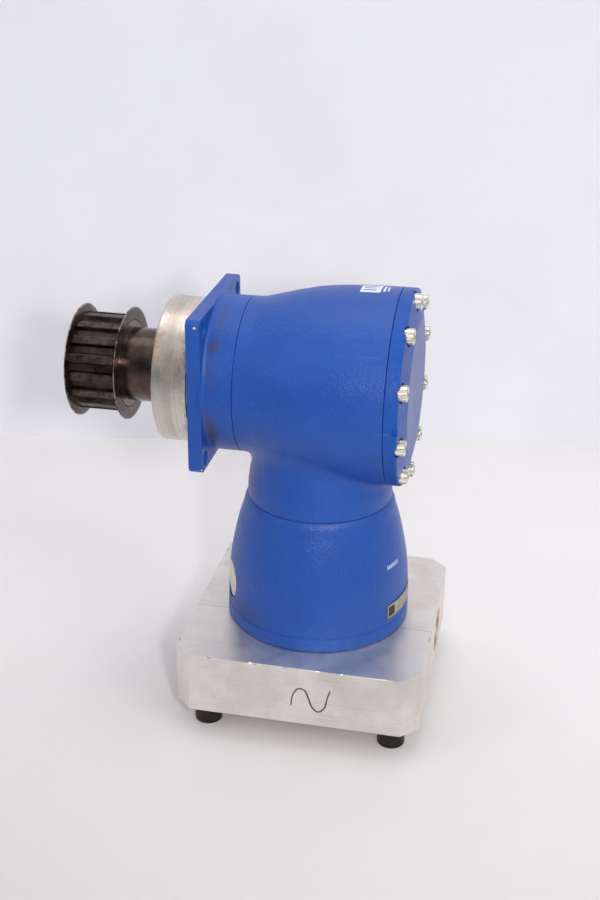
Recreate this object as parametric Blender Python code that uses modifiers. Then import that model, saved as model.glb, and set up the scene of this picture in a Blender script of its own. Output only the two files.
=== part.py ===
"""Right-angle planetary servo gearbox with a motor plate below and a timing pulley on its output.

The input shaft stands on the Z axis of the empty "gearbox", measured from the motor plate's underside.
A bevel pinion on it drives a crown wheel on the output axis, which lies along X. The crown wheel's
shaft carries the sun gear of a planetary stage, whose carrier is the output shaft.
"""

import math

import bmesh
import bpy
from mathutils import Matrix, Vector

# Driving dimensions, in metres.
GAP = 0.0003
PLATE_SIDE = 0.162
PLATE_CHAMFER = 0.011
PLATE_THICKNESS = 0.042
MOTOR_REGISTER_R = 0.065
MOTOR_REGISTER_DEPTH = 0.004
PLATE_BORE_R = 0.044
MOTOR_BOLT_SPREAD = 0.0619
BOLT_HEAD_R = 0.009
BOLT_HEAD_HEIGHT = 0.012
BOLT_STANDOFF = 0.0059
SIDE_HOLE = (0.020, 0.0202, 0.0145)
ADAPTER_CIRCLE_R = 0.054
ADAPTER_HEAD_Z = 0.0136

AXIS_HEIGHT = 0.208
BELL_SEAM_Z = 0.1293
BELL_BASE_R = 0.0613
PLUG_AZIMUTH = math.radians(-156.5)
PLUG_Z = 0.069
PLUG_R = 0.0124
NAMEPLATE_ARC = (math.radians(-31.5), math.radians(5.0))
NAMEPLATE_Z = (0.0555, 0.066)

FLANGE_SIDE = 0.101
FLANGE_FRONT = -0.0752
FLANGE_BACK = -0.0661
FLANGE_HOLE_SPREAD = 0.0424
FLANGE_HOLE_R = 0.0045
BARREL_R = 0.0501
BARREL_SEAM = -0.047
PILOT_R = 0.047
PILOT_FRONT = -0.0994

COVER_SEAM = 0.0481
COVER_RIM = 0.057
COVER_FACE = 0.0605
O_RING_SPAN = (0.0408, 0.0442)
COVER_R = 0.0626
COVER_FACE_R = 0.0435
COVER_SLOPE_R = 0.0618
COVER_SCREWS = 10
COVER_SCREW_CIRCLE_R = 0.0567
COVER_SCREW_SEAT = 0.0556
COVER_SHANK_R = 0.0026
COVER_SPIGOT_R = 0.0527

PULLEY_TEETH = 16
PULLEY_FRONT = -0.160
PULLEY_BACK = -0.1265
PULLEY_TIP_R = 0.0319
PULLEY_ROOT_R = 0.0289
PULLEY_FLANGE_R = 0.0369
PULLEY_HUB_R = 0.024
PULLEY_HUB_END = -0.1001
SHAFT_R = 0.016
SHAFT_END = -0.1518

GEAR_MODULE = 0.0016
GEAR_BACKLASH = 0.00022
PRESSURE_ANGLE = math.radians(25)
SUN_TEETH = 12
PLANET_TEETH = 18
RING_TEETH = SUN_TEETH + 2 * PLANET_TEETH
PLANETS = 3
PLANET_FACE = (-0.0385, -0.0225)
CARRIER_R = GEAR_MODULE * (SUN_TEETH + PLANET_TEETH) / 2
PLANET_PIN_R = 0.006
PIN_SPAN = (-0.0463, -0.0165)
CARRIER_PLATE_SPAN = (-0.0218, -0.0160)
BEVEL_MODULE = 0.0025
BEVEL_BACKLASH = 0.0003
CROWN_TEETH = 33
PINION_TEETH = 11
BEVEL_FACE = 0.013

JOURNAL_R = 0.0222
BEARING_R = 0.040
PINION_SHAFT_R = 0.0147
SMALL_BEARING_R = 0.031
CLAMP_HUB_R = 0.027
CLAMP_SCREW_OFFSET = 0.0205
CLAMP_AZIMUTH = PLUG_AZIMUTH - math.asin(CLAMP_SCREW_OFFSET / BELL_BASE_R)

HOUSING_STEPS = 28
SHAFT_STEPS = 20
SMALL_STEPS = 16
BOLT_STEPS = 12
SCREW_STEPS = 10
UPRIGHT = (0, 0, 0)
CENTRE = (0, 0, 0)

for leftover in list(bpy.data.objects):
    bpy.data.objects.remove(leftover)


def collection(name):
    made = bpy.data.collections.new(name)
    bpy.context.scene.collection.children.link(made)
    return made


PARTS = collection("servo_gearbox")
CUTTERS = collection("cutters")


def empty(name, parent, location, rotation=UPRIGHT):
    obj = bpy.data.objects.new(name, None)
    obj.parent = parent
    obj.location = location
    obj.rotation_euler = rotation
    PARTS.objects.link(obj)
    return obj


STAND_HEIGHT = BOLT_STANDOFF + BOLT_HEAD_HEIGHT
BODY = empty("gearbox", None, (-(PULLEY_FRONT + PLATE_SIDE / 2) / 2, 0, STAND_HEIGHT))
OUTPUT = empty("output_axis", BODY, (0, 0, AXIS_HEIGHT), (0, math.pi / 2, 0))
INPUT = empty("input_axis", BODY, (0, 0, AXIS_HEIGHT))


def around(count, radius, start=0.0):
    """Points (x, y) evenly spaced on a circle."""
    turns = [start + 2 * math.pi * i / count for i in range(count)]
    return [(radius * math.cos(turn), radius * math.sin(turn)) for turn in turns]


def clear(radius, steps):
    """The corner radius of a hole with this many sides that leaves the gap round a rod."""
    return (radius + GAP) / math.cos(math.pi / steps)


def material(name, colour, roughness, metallic):
    made = bpy.data.materials.new(name)
    made.use_nodes = True
    shader = made.node_tree.nodes["Principled BSDF"]
    shader.inputs["Base Color"].default_value = (*colour, 1)
    shader.inputs["Roughness"].default_value = roughness
    shader.inputs["Metallic"].default_value = metallic
    return made


BLUE = (0.03, 0.085, 0.42)
BRIGHT_STEEL = (0.62, 0.60, 0.57)
DARK_STEEL = (0.10, 0.085, 0.075)
GEAR_STEEL = (0.42, 0.41, 0.40)
RUBBER = (0.02, 0.02, 0.022)


def place(obj, parent, location=CENTRE, rotation=UPRIGHT):
    obj.parent = parent
    obj.location = location
    obj.rotation_euler = rotation
    PARTS.objects.link(obj)
    return obj


def as_cutter(obj):
    """Moves an object to the cutters, which only shape other pieces."""
    PARTS.objects.unlink(obj)
    CUTTERS.objects.link(obj)
    obj.hide_render = True
    obj.display_type = "WIRE"
    return obj


def turned(name, profile, steps, parent, location=CENTRE, rotation=UPRIGHT):
    """A body turned about its Z axis from (radius, height) points that run down its outer side."""
    mesh = bpy.data.meshes.new(name)
    points = [(radius, 0, height) for radius, height in profile]
    edges = [(i, i + 1) for i in range(len(points) - 1)]
    if profile[0][0] > 0:
        edges.append((len(points) - 1, 0))
    mesh.from_pydata(points, edges, [])
    obj = place(bpy.data.objects.new(name, mesh), parent, location, rotation)
    screw = obj.modifiers.new("turn", "SCREW")
    screw.steps = steps
    screw.render_steps = steps
    screw.use_merge_vertices = True
    screw.merge_threshold = 0.00001
    return obj


def mesh_object(name, shape, parent, location=CENTRE, rotation=UPRIGHT):
    """An object made from a bmesh, which this uses up."""
    bmesh.ops.recalc_face_normals(shape, faces=shape.faces)
    mesh = bpy.data.meshes.new(name)
    shape.to_mesh(mesh)
    shape.free()
    return place(bpy.data.objects.new(name, mesh), parent, location, rotation)


def add_rod(shape, radius, low, high, steps, spot=(0, 0)):
    """A cylinder along Z from low to high, added to a bmesh."""
    bmesh.ops.create_cone(
        shape,
        cap_ends=True,
        segments=steps,
        radius1=radius,
        radius2=radius,
        depth=high - low,
        matrix=Matrix.Translation((*spot, (low + high) / 2)),
    )


def drill(name, radius, low, high, steps, parent, spots=((0, 0),), location=CENTRE, rotation=UPRIGHT):
    """A cutter of one or more parallel rods."""
    shape = bmesh.new()
    for spot in spots:
        add_rod(shape, radius, low, high, steps, spot)
    return as_cutter(mesh_object(name, shape, parent, location, rotation))


def block(name, size, parent, location=CENTRE, rotation=UPRIGHT, chamfer=0.0):
    """A box, with its four edges along Z chamfered where asked."""
    shape = bmesh.new()
    bmesh.ops.create_cube(shape, size=1, matrix=Matrix.Diagonal((*size, 1)))
    if chamfer:
        upright = []
        for edge in shape.edges:
            low, high = (vert.co.z for vert in edge.verts)
            if abs(high - low) > size[2] / 2:
                upright.append(edge)
        bmesh.ops.bevel(shape, geom=upright, offset=chamfer, segments=1, affect="EDGES")
    return mesh_object(name, shape, parent, location, rotation)


def prism(name, outlines, low, high, parent, rotation=UPRIGHT):
    """A flat piece from closed outlines, the first outside and the others its holes."""
    curve = bpy.data.curves.new(name, "CURVE")
    curve.dimensions = "2D"
    curve.fill_mode = "BOTH"
    curve.extrude = (high - low) / 2
    for outline in outlines:
        spline = curve.splines.new("POLY")
        spline.points.add(len(outline) - 1)
        for point, (x, y) in zip(spline.points, outline):
            point.co = (x, y, 0, 1)
        spline.use_cyclic_u = True
    drawn = place(bpy.data.objects.new(name + "_outline", curve), parent)
    bpy.context.view_layer.update()
    mesh = bpy.data.meshes.new_from_object(drawn.evaluated_get(bpy.context.evaluated_depsgraph_get()))
    bpy.data.objects.remove(drawn)
    shape = bmesh.new()
    shape.from_mesh(mesh)
    bmesh.ops.remove_doubles(shape, verts=shape.verts, dist=0.000001)
    return mesh_object(name, shape, parent, (0, 0, (low + high) / 2), rotation)


def boolean(obj, operation, *others):
    for other in others:
        step = obj.modifiers.new(operation.lower() + "_" + other.name, "BOOLEAN")
        step.operation = operation
        step.object = other
        step.solver = "EXACT"


def cut(obj, *cutters):
    boolean(obj, "DIFFERENCE", *cutters)


def join(obj, *pieces):
    boolean(obj, "UNION", *[as_cutter(piece) for piece in pieces])


def bevel(obj, width, angle=30.0):
    step = obj.modifiers.new("edge", "BEVEL")
    step.width = width
    step.segments = 1
    step.limit_method = "ANGLE"
    step.angle_limit = math.radians(angle)


def finish(obj, look, sharp_angle=32.0):
    """Turns the modifiers into mesh, shades it smooth between its sharp edges and gives it a material."""
    bpy.context.view_layer.update()
    made = bpy.data.meshes.new_from_object(obj.evaluated_get(bpy.context.evaluated_depsgraph_get()))
    obj.modifiers.clear()
    obj.data = made
    made.name = obj.name
    made.shade_smooth()
    made.set_sharp_from_angle(angle=math.radians(sharp_angle))
    made.materials.clear()
    made.materials.append(look)
    return obj


def copy_of(obj, name, location):
    """A second object with the same mesh, at another place on the same parent."""
    return place(bpy.data.objects.new(name, obj.data), obj.parent, location, obj.rotation_euler)


def socket(name, across_flats, low, high, parent, location=CENTRE, rotation=UPRIGHT):
    """A hexagon socket's cutter."""
    corner_r = across_flats / math.sqrt(3)
    return drill(name, corner_r, low, high, 6, parent, location=location, rotation=rotation)


# ---- motor plate and its screws ----


def adapter_spots():
    return around(4, ADAPTER_CIRCLE_R, math.radians(60))


def motor_bolt_spots():
    return around(4, MOTOR_BOLT_SPREAD * math.sqrt(2), math.radians(45))


def make_motor_plate():
    plate = block(
        "motor_plate",
        (PLATE_SIDE, PLATE_SIDE, PLATE_THICKNESS),
        BODY,
        (0, 0, PLATE_THICKNESS / 2),
        chamfer=PLATE_CHAMFER,
    )
    y, z, radius = SIDE_HOLE
    inside_bore = 0.025
    past = 0.01
    blind = 0.028
    side_hole = drill(
        "plate_side_hole",
        radius,
        inside_bore,
        PLATE_SIDE / 2 + past,
        SHAFT_STEPS,
        BODY,
        location=(0, y, z),
        rotation=(0, math.pi / 2, 0),
    )
    spots = adapter_spots()
    cut(
        plate,
        side_hole,
        drill("plate_register", MOTOR_REGISTER_R, -past, MOTOR_REGISTER_DEPTH, HOUSING_STEPS, BODY),
        drill("plate_bore", PLATE_BORE_R, -past, PLATE_THICKNESS + past, HOUSING_STEPS, BODY),
        drill("plate_bolt_holes", 0.0064, -past, blind, BOLT_STEPS, BODY, motor_bolt_spots()),
        drill("plate_counterbores", 0.007, -past, ADAPTER_HEAD_Z + GAP, BOLT_STEPS, BODY, spots),
        drill("plate_screw_holes", 0.0044, 0.005, PLATE_THICKNESS + past, SCREW_STEPS, BODY, spots),
    )
    finish(plate, material("satin_aluminium", (0.72, 0.71, 0.69), 0.35, 1.0))


def make_motor_bolts():
    """Four M12 socket screws, wound in part of the way, whose heads the gearbox stands on."""
    shank_r = 0.006
    under = -BOLT_STANDOFF
    foot = -STAND_HEIGHT
    profile = [
        (0, 0.022),
        (shank_r, 0.022),
        (shank_r, under),
        (BOLT_HEAD_R, under),
        (BOLT_HEAD_R, foot + 0.0009),
        (BOLT_HEAD_R - 0.0009, foot),
        (0, foot),
    ]
    look = material("black_oxide_steel", (0.035, 0.03, 0.028), 0.4, 0.8)
    spots = motor_bolt_spots()
    first = turned("motor_bolt_1", profile, BOLT_STEPS, BODY, (*spots[0], 0))
    cut(first, socket("bolt_socket", 0.010, foot - 0.01, foot + 0.006, BODY, (*spots[0], 0)))
    finish(first, look)
    for i, spot in enumerate(spots[1:], 2):
        copy_of(first, f"motor_bolt_{i}", (*spot, 0))


def make_adapter_screws():
    """Four M8 socket screws that hold the input housing on the plate, sunk from below."""
    head_low = ADAPTER_HEAD_Z - 0.008
    profile = [
        (0, 0.057),
        (0.004, 0.057),
        (0.004, ADAPTER_HEAD_Z),
        (0.0065, ADAPTER_HEAD_Z),
        (0.0065, head_low),
        (0, head_low),
    ]
    spots = adapter_spots()
    first = turned("adapter_screw_1", profile, SCREW_STEPS, BODY, (*spots[0], 0))
    cut(first, socket("adapter_socket", 0.006, head_low - 0.01, head_low + 0.004, BODY, (*spots[0], 0)))
    finish(first, material("dull_zinc", (0.45, 0.45, 0.43), 0.4, 1.0))
    for i, spot in enumerate(spots[1:], 2):
        copy_of(first, f"adapter_screw_{i}", (*spot, 0))


# ---- input housing, the bell between plate and gear housing ----


def make_input_housing():
    base = PLATE_THICKNESS + GAP
    top = BELL_SEAM_Z - GAP / 2
    outside = [
        (0.0473, top),
        (0.0502, 0.124),
        (0.0532, 0.113),
        (0.0555, 0.1036),
        (0.0590, 0.086),
        (0.0605, 0.070),
        (BELL_BASE_R, 0.0515),
        (BELL_BASE_R, base),
    ]
    inside = [
        (0.047, base),
        (0.047, 0.061),
        (0.053, 0.068),
        (0.047, 0.098),
        (0.032, 0.098),
        (0.032, 0.091),
        (0.0263, 0.091),
        (0.0263, 0.099),
        (0.023, 0.099),
        (0.023, 0.1037),
        (SMALL_BEARING_R + GAP, 0.1037),
        (SMALL_BEARING_R + GAP, top),
    ]
    bell = turned("input_housing", outside + inside, HOUSING_STEPS, BODY)
    cut(
        bell,
        drill(
            "plug_hole",
            PLUG_R + GAP,
            0.040,
            0.075,
            SMALL_STEPS,
            BODY,
            location=(0, 0, PLUG_Z),
            rotation=(0, math.pi / 2, PLUG_AZIMUTH),
        ),
        drill("bell_screw_holes", 0.0043, 0.035, 0.0585, SCREW_STEPS, BODY, adapter_spots()),
    )
    finish(bell, material("blue_paint_input", BLUE, 0.35, 0.0))


def make_access_plug():
    """The push-in plug over the clamp screw, dished on its outer face."""
    face = 0.0596
    profile = [
        (0, face - 0.0012),
        (PLUG_R - 0.003, face - 0.0012),
        (PLUG_R - 0.0018, face),
        (PLUG_R, face),
        (PLUG_R, face - 0.0072),
        (0, face - 0.0072),
    ]
    plug = turned("access_plug", profile, SMALL_STEPS, BODY, (0, 0, PLUG_Z), (0, math.pi / 2, PLUG_AZIMUTH))
    finish(plug, material("ivory_plastic", (0.75, 0.70, 0.58), 0.5, 0.0))


def make_nameplate():
    """A thin metal plate bent round the bell, as a grid on the cylinder with Solidify."""
    radius = 0.0613
    low, high = NAMEPLATE_Z
    start, end = NAMEPLATE_ARC
    shape = bmesh.new()
    bmesh.ops.create_grid(shape, x_segments=8, y_segments=1, size=0.5)
    for vert in shape.verts:
        turn = start + (vert.co.x + 0.5) * (end - start)
        height = low + (vert.co.y + 0.5) * (high - low)
        vert.co = Vector((radius * math.cos(turn), radius * math.sin(turn), height))
    for face in shape.faces:
        face.normal_update()
        if face.normal.dot(face.calc_center_median() * Vector((1, 1, 0))) < 0:
            face.normal_flip()
    mesh = bpy.data.meshes.new("nameplate")
    shape.to_mesh(mesh)
    shape.free()
    plate = place(bpy.data.objects.new("nameplate", mesh), BODY)
    shell = plate.modifiers.new("thickness", "SOLIDIFY")
    shell.thickness = 0.0005
    shell.offset = 1
    finish(plate, material("nameplate_metal", (0.55, 0.52, 0.40), 0.4, 0.9))


# ---- gear housing and rear cover ----


def cover_screw_spots():
    return around(COVER_SCREWS, COVER_SCREW_CIRCLE_R, math.pi)


def make_gear_housing():
    """The barrel round the output axis with the neck that stands on the input housing."""
    barrel = [
        (0, COVER_SEAM),
        (COVER_R, COVER_SEAM),
        (0.0621, 0.024),
        (0.0610, 0.0095),
        (0.0590, -0.006),
        (0.0565, -0.0173),
        (0.0533, -0.0288),
        (0.0510, -0.0375),
        (BARREL_R, BARREL_SEAM + GAP / 2),
        (0, BARREL_SEAM + GAP / 2),
    ]
    housing = turned("gear_housing", barrel, HOUSING_STEPS, OUTPUT)
    neck_low = BELL_SEAM_Z + GAP / 2
    neck_top = 0.175
    neck = [
        (0, neck_top),
        (0.0440, neck_top),
        (0.0452, 0.1526),
        (0.0472, 0.1389),
        (0.0473, neck_low),
        (0, neck_low),
    ]
    join(housing, turned("neck", neck, HOUSING_STEPS, BODY))
    cavity = [
        (0, 0.060),
        (COVER_SPIGOT_R + GAP, 0.060),
        (COVER_SPIGOT_R + GAP, 0.032),
        (0.055, 0.028),
        (0.055, 0.008),
        (0.051, -0.008),
        (0.0448, -0.014),
        (0.0448, -0.060),
        (0, -0.060),
    ]
    cut(
        housing,
        as_cutter(turned("gear_cavity", cavity, HOUSING_STEPS, OUTPUT)),
        drill("neck_bearing_bore", SMALL_BEARING_R + GAP, 0.12, 0.1473, HOUSING_STEPS, BODY),
        drill("neck_bore", 0.027, 0.14, neck_top + 0.005, HOUSING_STEPS, BODY),
        drill("housing_screw_holes", clear(COVER_SHANK_R, 6), 0.037, 0.060, 6, OUTPUT, cover_screw_spots()),
    )
    finish(housing, material("blue_paint_housing", BLUE, 0.35, 0.0))


def make_rear_cover():
    """The round cover: a flat face, a shallow slope cut away round the screws, and a bearing seat."""
    back = COVER_SEAM + GAP
    outline = [
        (0, COVER_FACE),
        (COVER_FACE_R, COVER_FACE),
        (COVER_SLOPE_R, COVER_RIM),
        (COVER_R, COVER_RIM - 0.0008),
        (COVER_R, back),
        (COVER_SPIGOT_R, back),
        (COVER_SPIGOT_R, O_RING_SPAN[1] + GAP),
        (0.0500, O_RING_SPAN[1] + GAP),
        (0.0500, 0.040),
        (0.0385, 0.040),
        (0.0385, 0.0315),
        (SMALL_BEARING_R + GAP, 0.0315),
        (SMALL_BEARING_R + GAP, 0.0474),
        (0.022, 0.0474),
        (0.022, 0.0545),
        (0, 0.0545),
    ]
    cover = turned("rear_cover", outline, HOUSING_STEPS, OUTPUT)
    spots = cover_screw_spots()
    cut(
        cover,
        drill("cover_scallops", 0.0064, COVER_SCREW_SEAT - GAP, 0.070, SCREW_STEPS, OUTPUT, spots),
        drill("cover_screw_holes", clear(COVER_SHANK_R, 6), 0.040, 0.070, 6, OUTPUT, spots),
    )
    finish(cover, material("blue_paint_cover", BLUE, 0.35, 0.0))


def make_cover_screws():
    """Ten M6 socket screws on the rear cover, the first one at the top."""
    top = COVER_SCREW_SEAT + 0.006
    profile = [
        (0, top),
        (0.005, top),
        (0.005, COVER_SCREW_SEAT),
        (COVER_SHANK_R, COVER_SCREW_SEAT),
        (COVER_SHANK_R, 0.0385),
        (0, 0.0385),
    ]
    spots = cover_screw_spots()
    first = turned("cover_screw_01", profile, SCREW_STEPS, OUTPUT, (*spots[0], 0))
    cut(first, socket("cover_socket", 0.005, top - 0.003, top + 0.01, OUTPUT, (*spots[0], 0)))
    finish(first, material("zinc_steel", (0.70, 0.69, 0.64), 0.25, 1.0))
    for i, spot in enumerate(spots[1:], 2):
        copy_of(first, f"cover_screw_{i:02d}", (*spot, 0))


def make_cover_o_ring():
    look = material("o_ring_rubber", RUBBER, 0.6, 0.0)
    ring("cover_o_ring", 0.0509, 0.0525, *O_RING_SPAN, SHAFT_STEPS, OUTPUT, look)


# ---- output housing, pilot sleeve, seal and bearings ----


def make_output_housing():
    """The square flange with the short barrel behind it."""
    thickness = FLANGE_BACK - FLANGE_FRONT
    flange = block(
        "output_housing",
        (FLANGE_SIDE, FLANGE_SIDE, thickness),
        OUTPUT,
        (0, 0, (FLANGE_FRONT + FLANGE_BACK) / 2),
        chamfer=0.0025,
    )
    bevel(flange, 0.0007, 60.0)
    seam = BARREL_SEAM - GAP / 2
    inside_flange = FLANGE_FRONT + 0.003
    barrel = [(0, seam), (BARREL_R, seam), (BARREL_R, inside_flange), (0, inside_flange)]
    join(flange, turned("output_barrel", barrel, HOUSING_STEPS, OUTPUT))
    corners = around(4, FLANGE_HOLE_SPREAD * math.sqrt(2), math.radians(45))
    cut(
        flange,
        drill("output_bore", 0.044, -0.09, -0.03, HOUSING_STEPS, OUTPUT),
        drill("flange_holes", FLANGE_HOLE_R, -0.09, -0.05, SMALL_STEPS, OUTPUT, corners),
    )
    finish(flange, material("blue_paint_output", BLUE, 0.35, 0.0))


def make_pilot_sleeve():
    """The turned steel sleeve that centres the gearbox and holds the output bearings and seal."""
    inner_end = -0.0485
    profile = [
        (0.0437, inner_end),
        (0.0437, FLANGE_FRONT - GAP),
        (PILOT_R, FLANGE_FRONT - GAP),
        (PILOT_R, PILOT_FRONT + 0.0008),
        (PILOT_R - 0.0008, PILOT_FRONT),
        (0.0363, PILOT_FRONT),
        (0.0363, -0.0920),
        (0.0330, -0.0920),
        (0.0330, -0.0903),
        (BEARING_R + GAP, -0.0903),
        (BEARING_R + GAP, inner_end),
    ]
    finish(
        turned("pilot_sleeve", profile, HOUSING_STEPS, OUTPUT),
        material("turned_steel", BRIGHT_STEEL, 0.28, 1.0),
    )


def ring(name, inner, outer, low, high, steps, parent, look):
    profile = [(outer, high), (outer, low), (inner, low), (inner, high)]
    return finish(turned(name, profile, steps, parent), look)


def make_output_seal():
    look = material("seal_rubber", RUBBER, 0.5, 0.0)
    ring("output_seal", clear(JOURNAL_R, SHAFT_STEPS), 0.036, -0.0988, -0.0923, SHAFT_STEPS, OUTPUT, look)


def bearing(name, bore_r, middle_r, outer_r, span, steps, parent, looks):
    """A bearing as its outer ring and, in one solid, its inner ring with the rolling elements."""
    ring(name + "_outer_ring", clear(middle_r, steps), outer_r, *span, steps, parent, looks[0])
    ring(name + "_inner_ring", clear(bore_r, steps), middle_r, *span, steps, parent, looks[1])


def make_bearings():
    looks = (
        material("bearing_ring_steel", (0.55, 0.55, 0.54), 0.2, 1.0),
        material("bearing_roller_steel", (0.50, 0.50, 0.49), 0.25, 1.0),
    )
    for name, span in (("front_bearing", (-0.0900, -0.0740)), ("rear_bearing", (-0.0644, -0.0488))):
        bearing(name, JOURNAL_R, 0.0350, BEARING_R, span, SHAFT_STEPS, OUTPUT, looks)
    for name, span, parent in (
        ("crown_bearing", (0.0312, 0.0471), OUTPUT),
        ("lower_pinion_bearing", (0.1040, 0.1200), BODY),
        ("upper_pinion_bearing", (0.1310, 0.1470), BODY),
    ):
        bearing(name, PINION_SHAFT_R, 0.0260, SMALL_BEARING_R, span, BOLT_STEPS, parent, looks)


# ---- gears ----


def involute(angle):
    return math.tan(angle) - angle


def flank_turn(radius, pitch_r, half_turn):
    """How far round a flank point lies from its tooth's middle, at a radius."""
    base_r = pitch_r * math.cos(PRESSURE_ANGLE)
    at_radius = math.acos(min(1.0, base_r / radius))
    return half_turn + involute(PRESSURE_ANGLE) - involute(at_radius)


def tooth(pitch_r, half_turn, radii):
    """One tooth's (radius, turn) points, up one flank and down the other."""
    side = [(radius, flank_turn(radius, pitch_r, half_turn)) for radius in radii]
    return [(radius, -turn) for radius, turn in side] + [(radius, turn) for radius, turn in reversed(side)]


def gear_outline(teeth, thinning, below, above, start=0.0, points_on_flank=2):
    """A spur gear's outline: thinning narrows each tooth, below and above are its dedendum and addendum."""
    pitch_r = GEAR_MODULE * teeth / 2
    half_turn = math.pi / (2 * teeth) - thinning / (2 * pitch_r)
    step = (below + above) / (points_on_flank - 1)
    shape = tooth(pitch_r, half_turn, [pitch_r - below + i * step for i in range(points_on_flank)])
    points = []
    for i in range(teeth):
        middle = start + 2 * math.pi * i / teeth
        points += [(r * math.cos(middle + turn), r * math.sin(middle + turn)) for r, turn in shape]
    return points


def bridge(shape, first, second):
    """Triangles between two rings of vertices of unlike counts that run the same way round."""
    i = j = 0
    while i < len(first) or j < len(second):
        low, high = first[i % len(first)], second[j % len(second)]
        if j == len(second) or (i < len(first) and i * len(second) <= j * len(first)):
            i += 1
            shape.faces.new((low, first[i % len(first)], high))
        else:
            j += 1
            shape.faces.new((low, second[j % len(second)], high))


def circle(shape, radius, height, steps):
    return [shape.verts.new((x, y, height)) for x, y in around(steps, radius)]


def bevel_gear(name, teeth, mate_teeth, points_on_flank, start, flip, hub, steps, bored=False):
    """Straight bevel teeth on a hub of (radius, distance) rings, about the point where the shafts cross.

    Each tooth is lofted from its outer section, on the back cone, to the same section scaled towards
    that point. A bored hub's rings run through to the front; any other ends in flat faces.
    """
    pitch_r = BEVEL_MODULE * teeth / 2
    cone = math.atan2(teeth, mate_teeth)
    cone_length = pitch_r / math.sin(cone)
    back_r = pitch_r / math.cos(cone)
    half_turn = (math.pi * BEVEL_MODULE / 2 - BEVEL_BACKLASH) / (2 * back_r)
    root, tip = back_r - 1.2 * BEVEL_MODULE, back_r + 0.95 * BEVEL_MODULE
    flank = [root + (tip - root) * i / (points_on_flank - 1) for i in range(points_on_flank)]
    shape = bmesh.new()
    sections = []
    for scale in (1 - BEVEL_FACE / cone_length, 1.0):
        section = []
        for i in range(teeth):
            for rho, turn in tooth(back_r, half_turn, flank):
                along = scale * (cone_length / math.cos(cone) - rho * math.sin(cone))
                out = scale * rho * math.cos(cone)
                angle = start + 2 * math.pi * i / teeth + turn / math.cos(cone)
                corner = (out * math.cos(angle), out * math.sin(angle), flip * along)
                section.append(shape.verts.new(corner))
        sections.append(section)
    inner, outer = sections
    points = len(outer) // teeth
    for i in range(len(outer)):
        j = (i + 1) % len(outer)
        shape.faces.new((inner[i], inner[j], outer[j], outer[i]))
    for section in sections:
        for i in range(0, len(section), points):
            shape.faces.new(section[i : i + points])
    feet = [[v for i, v in enumerate(section) if i % points in (0, points - 1)] for section in sections]
    rings = [feet[1]] + [circle(shape, radius, flip * along, steps) for radius, along in hub]
    for low, high in zip(rings, rings[1:]):
        bridge(shape, low, high)
    if bored:
        bridge(shape, rings[-1], feet[0])
    else:
        shape.faces.new(rings[-1])
        shape.faces.new(feet[0])
    return mesh_object(name, shape, OUTPUT if flip > 0 else INPUT)


def make_ring_gear():
    """The internal gear: its tooth spaces have a spur tooth's shape."""
    spaces = gear_outline(RING_TEETH, -GEAR_BACKLASH, 0.85 * GEAR_MODULE, 1.25 * GEAR_MODULE)
    outside = around(HOUSING_STEPS, 0.0445)
    obj = prism("ring_gear", [outside, spaces], -0.042, -0.0205, OUTPUT)
    finish(obj, material("ring_gear_steel", GEAR_STEEL, 0.3, 1.0), 20)


def make_planets():
    look = material("planet_steel", GEAR_STEEL, 0.25, 1.0)
    pin_look = material("pin_steel", BRIGHT_STEEL, 0.2, 1.0)
    outline = gear_outline(PLANET_TEETH, GEAR_BACKLASH, 1.2 * GEAR_MODULE, 0.95 * GEAR_MODULE)
    bore = around(SCREW_STEPS, clear(PLANET_PIN_R, SCREW_STEPS))
    low, high = PIN_SPAN
    pin = [(0, high), (PLANET_PIN_R, high), (PLANET_PIN_R, low), (0, low)]
    for i, (x, y) in enumerate(around(PLANETS, CARRIER_R), 1):
        turn = math.atan2(y, x)
        axis = empty(f"planet_axis_{i}", OUTPUT, (x, y, 0), (0, 0, turn))
        finish(prism(f"planet_gear_{i}", [outline, bore], *PLANET_FACE, axis), look, 20)
        finish(turned(f"planet_pin_{i}", pin, SCREW_STEPS, axis), pin_look)


def make_sun_shaft():
    """The sun gear with its shaft, which carries the crown wheel."""
    profile = [
        (0, 0.0525),
        (0.0124, 0.0525),
        (0.0124, 0.0473),
        (PINION_SHAFT_R, 0.0473),
        (PINION_SHAFT_R, 0.0310),
        (0.0157, 0.0310),
        (0.0157, 0.0118),
        (0.0190, 0.0118),
        (0.0190, 0.0075),
        (0.0110, 0.0040),
        (0.0110, -0.0185),
        (0.0072, -0.0205),
        (0.0072, -0.0300),
        (0, -0.0300),
    ]
    start = math.pi / SUN_TEETH
    outline = gear_outline(SUN_TEETH, GEAR_BACKLASH, 1.2 * GEAR_MODULE, 0.95 * GEAR_MODULE, start, 3)
    shaft = turned("sun_shaft", profile, SMALL_STEPS, OUTPUT)
    join(shaft, prism("sun_teeth", [outline], -0.0392, -0.0213, OUTPUT))
    finish(shaft, material("sun_steel", GEAR_STEEL, 0.25, 1.0), 20)


def make_crown_wheel():
    hub = [(0.024, 0.0225), (0.024, 0.0307), (0.016, 0.0307), (0.016, 0.0123)]
    half_pitch = math.pi / CROWN_TEETH
    crown = bevel_gear(
        "crown_wheel", CROWN_TEETH, PINION_TEETH, 2, half_pitch, 1, hub, SMALL_STEPS, bored=True
    )
    finish(crown, material("crown_steel", GEAR_STEEL, 0.3, 1.0), 20)


def make_crown_nut():
    bore = clear(0.0124, BOLT_STEPS)
    look = material("nut_steel", DARK_STEEL, 0.4, 1.0)
    ring("crown_nut", bore, 0.020, 0.0475, 0.0521, BOLT_STEPS, OUTPUT, look)


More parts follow.
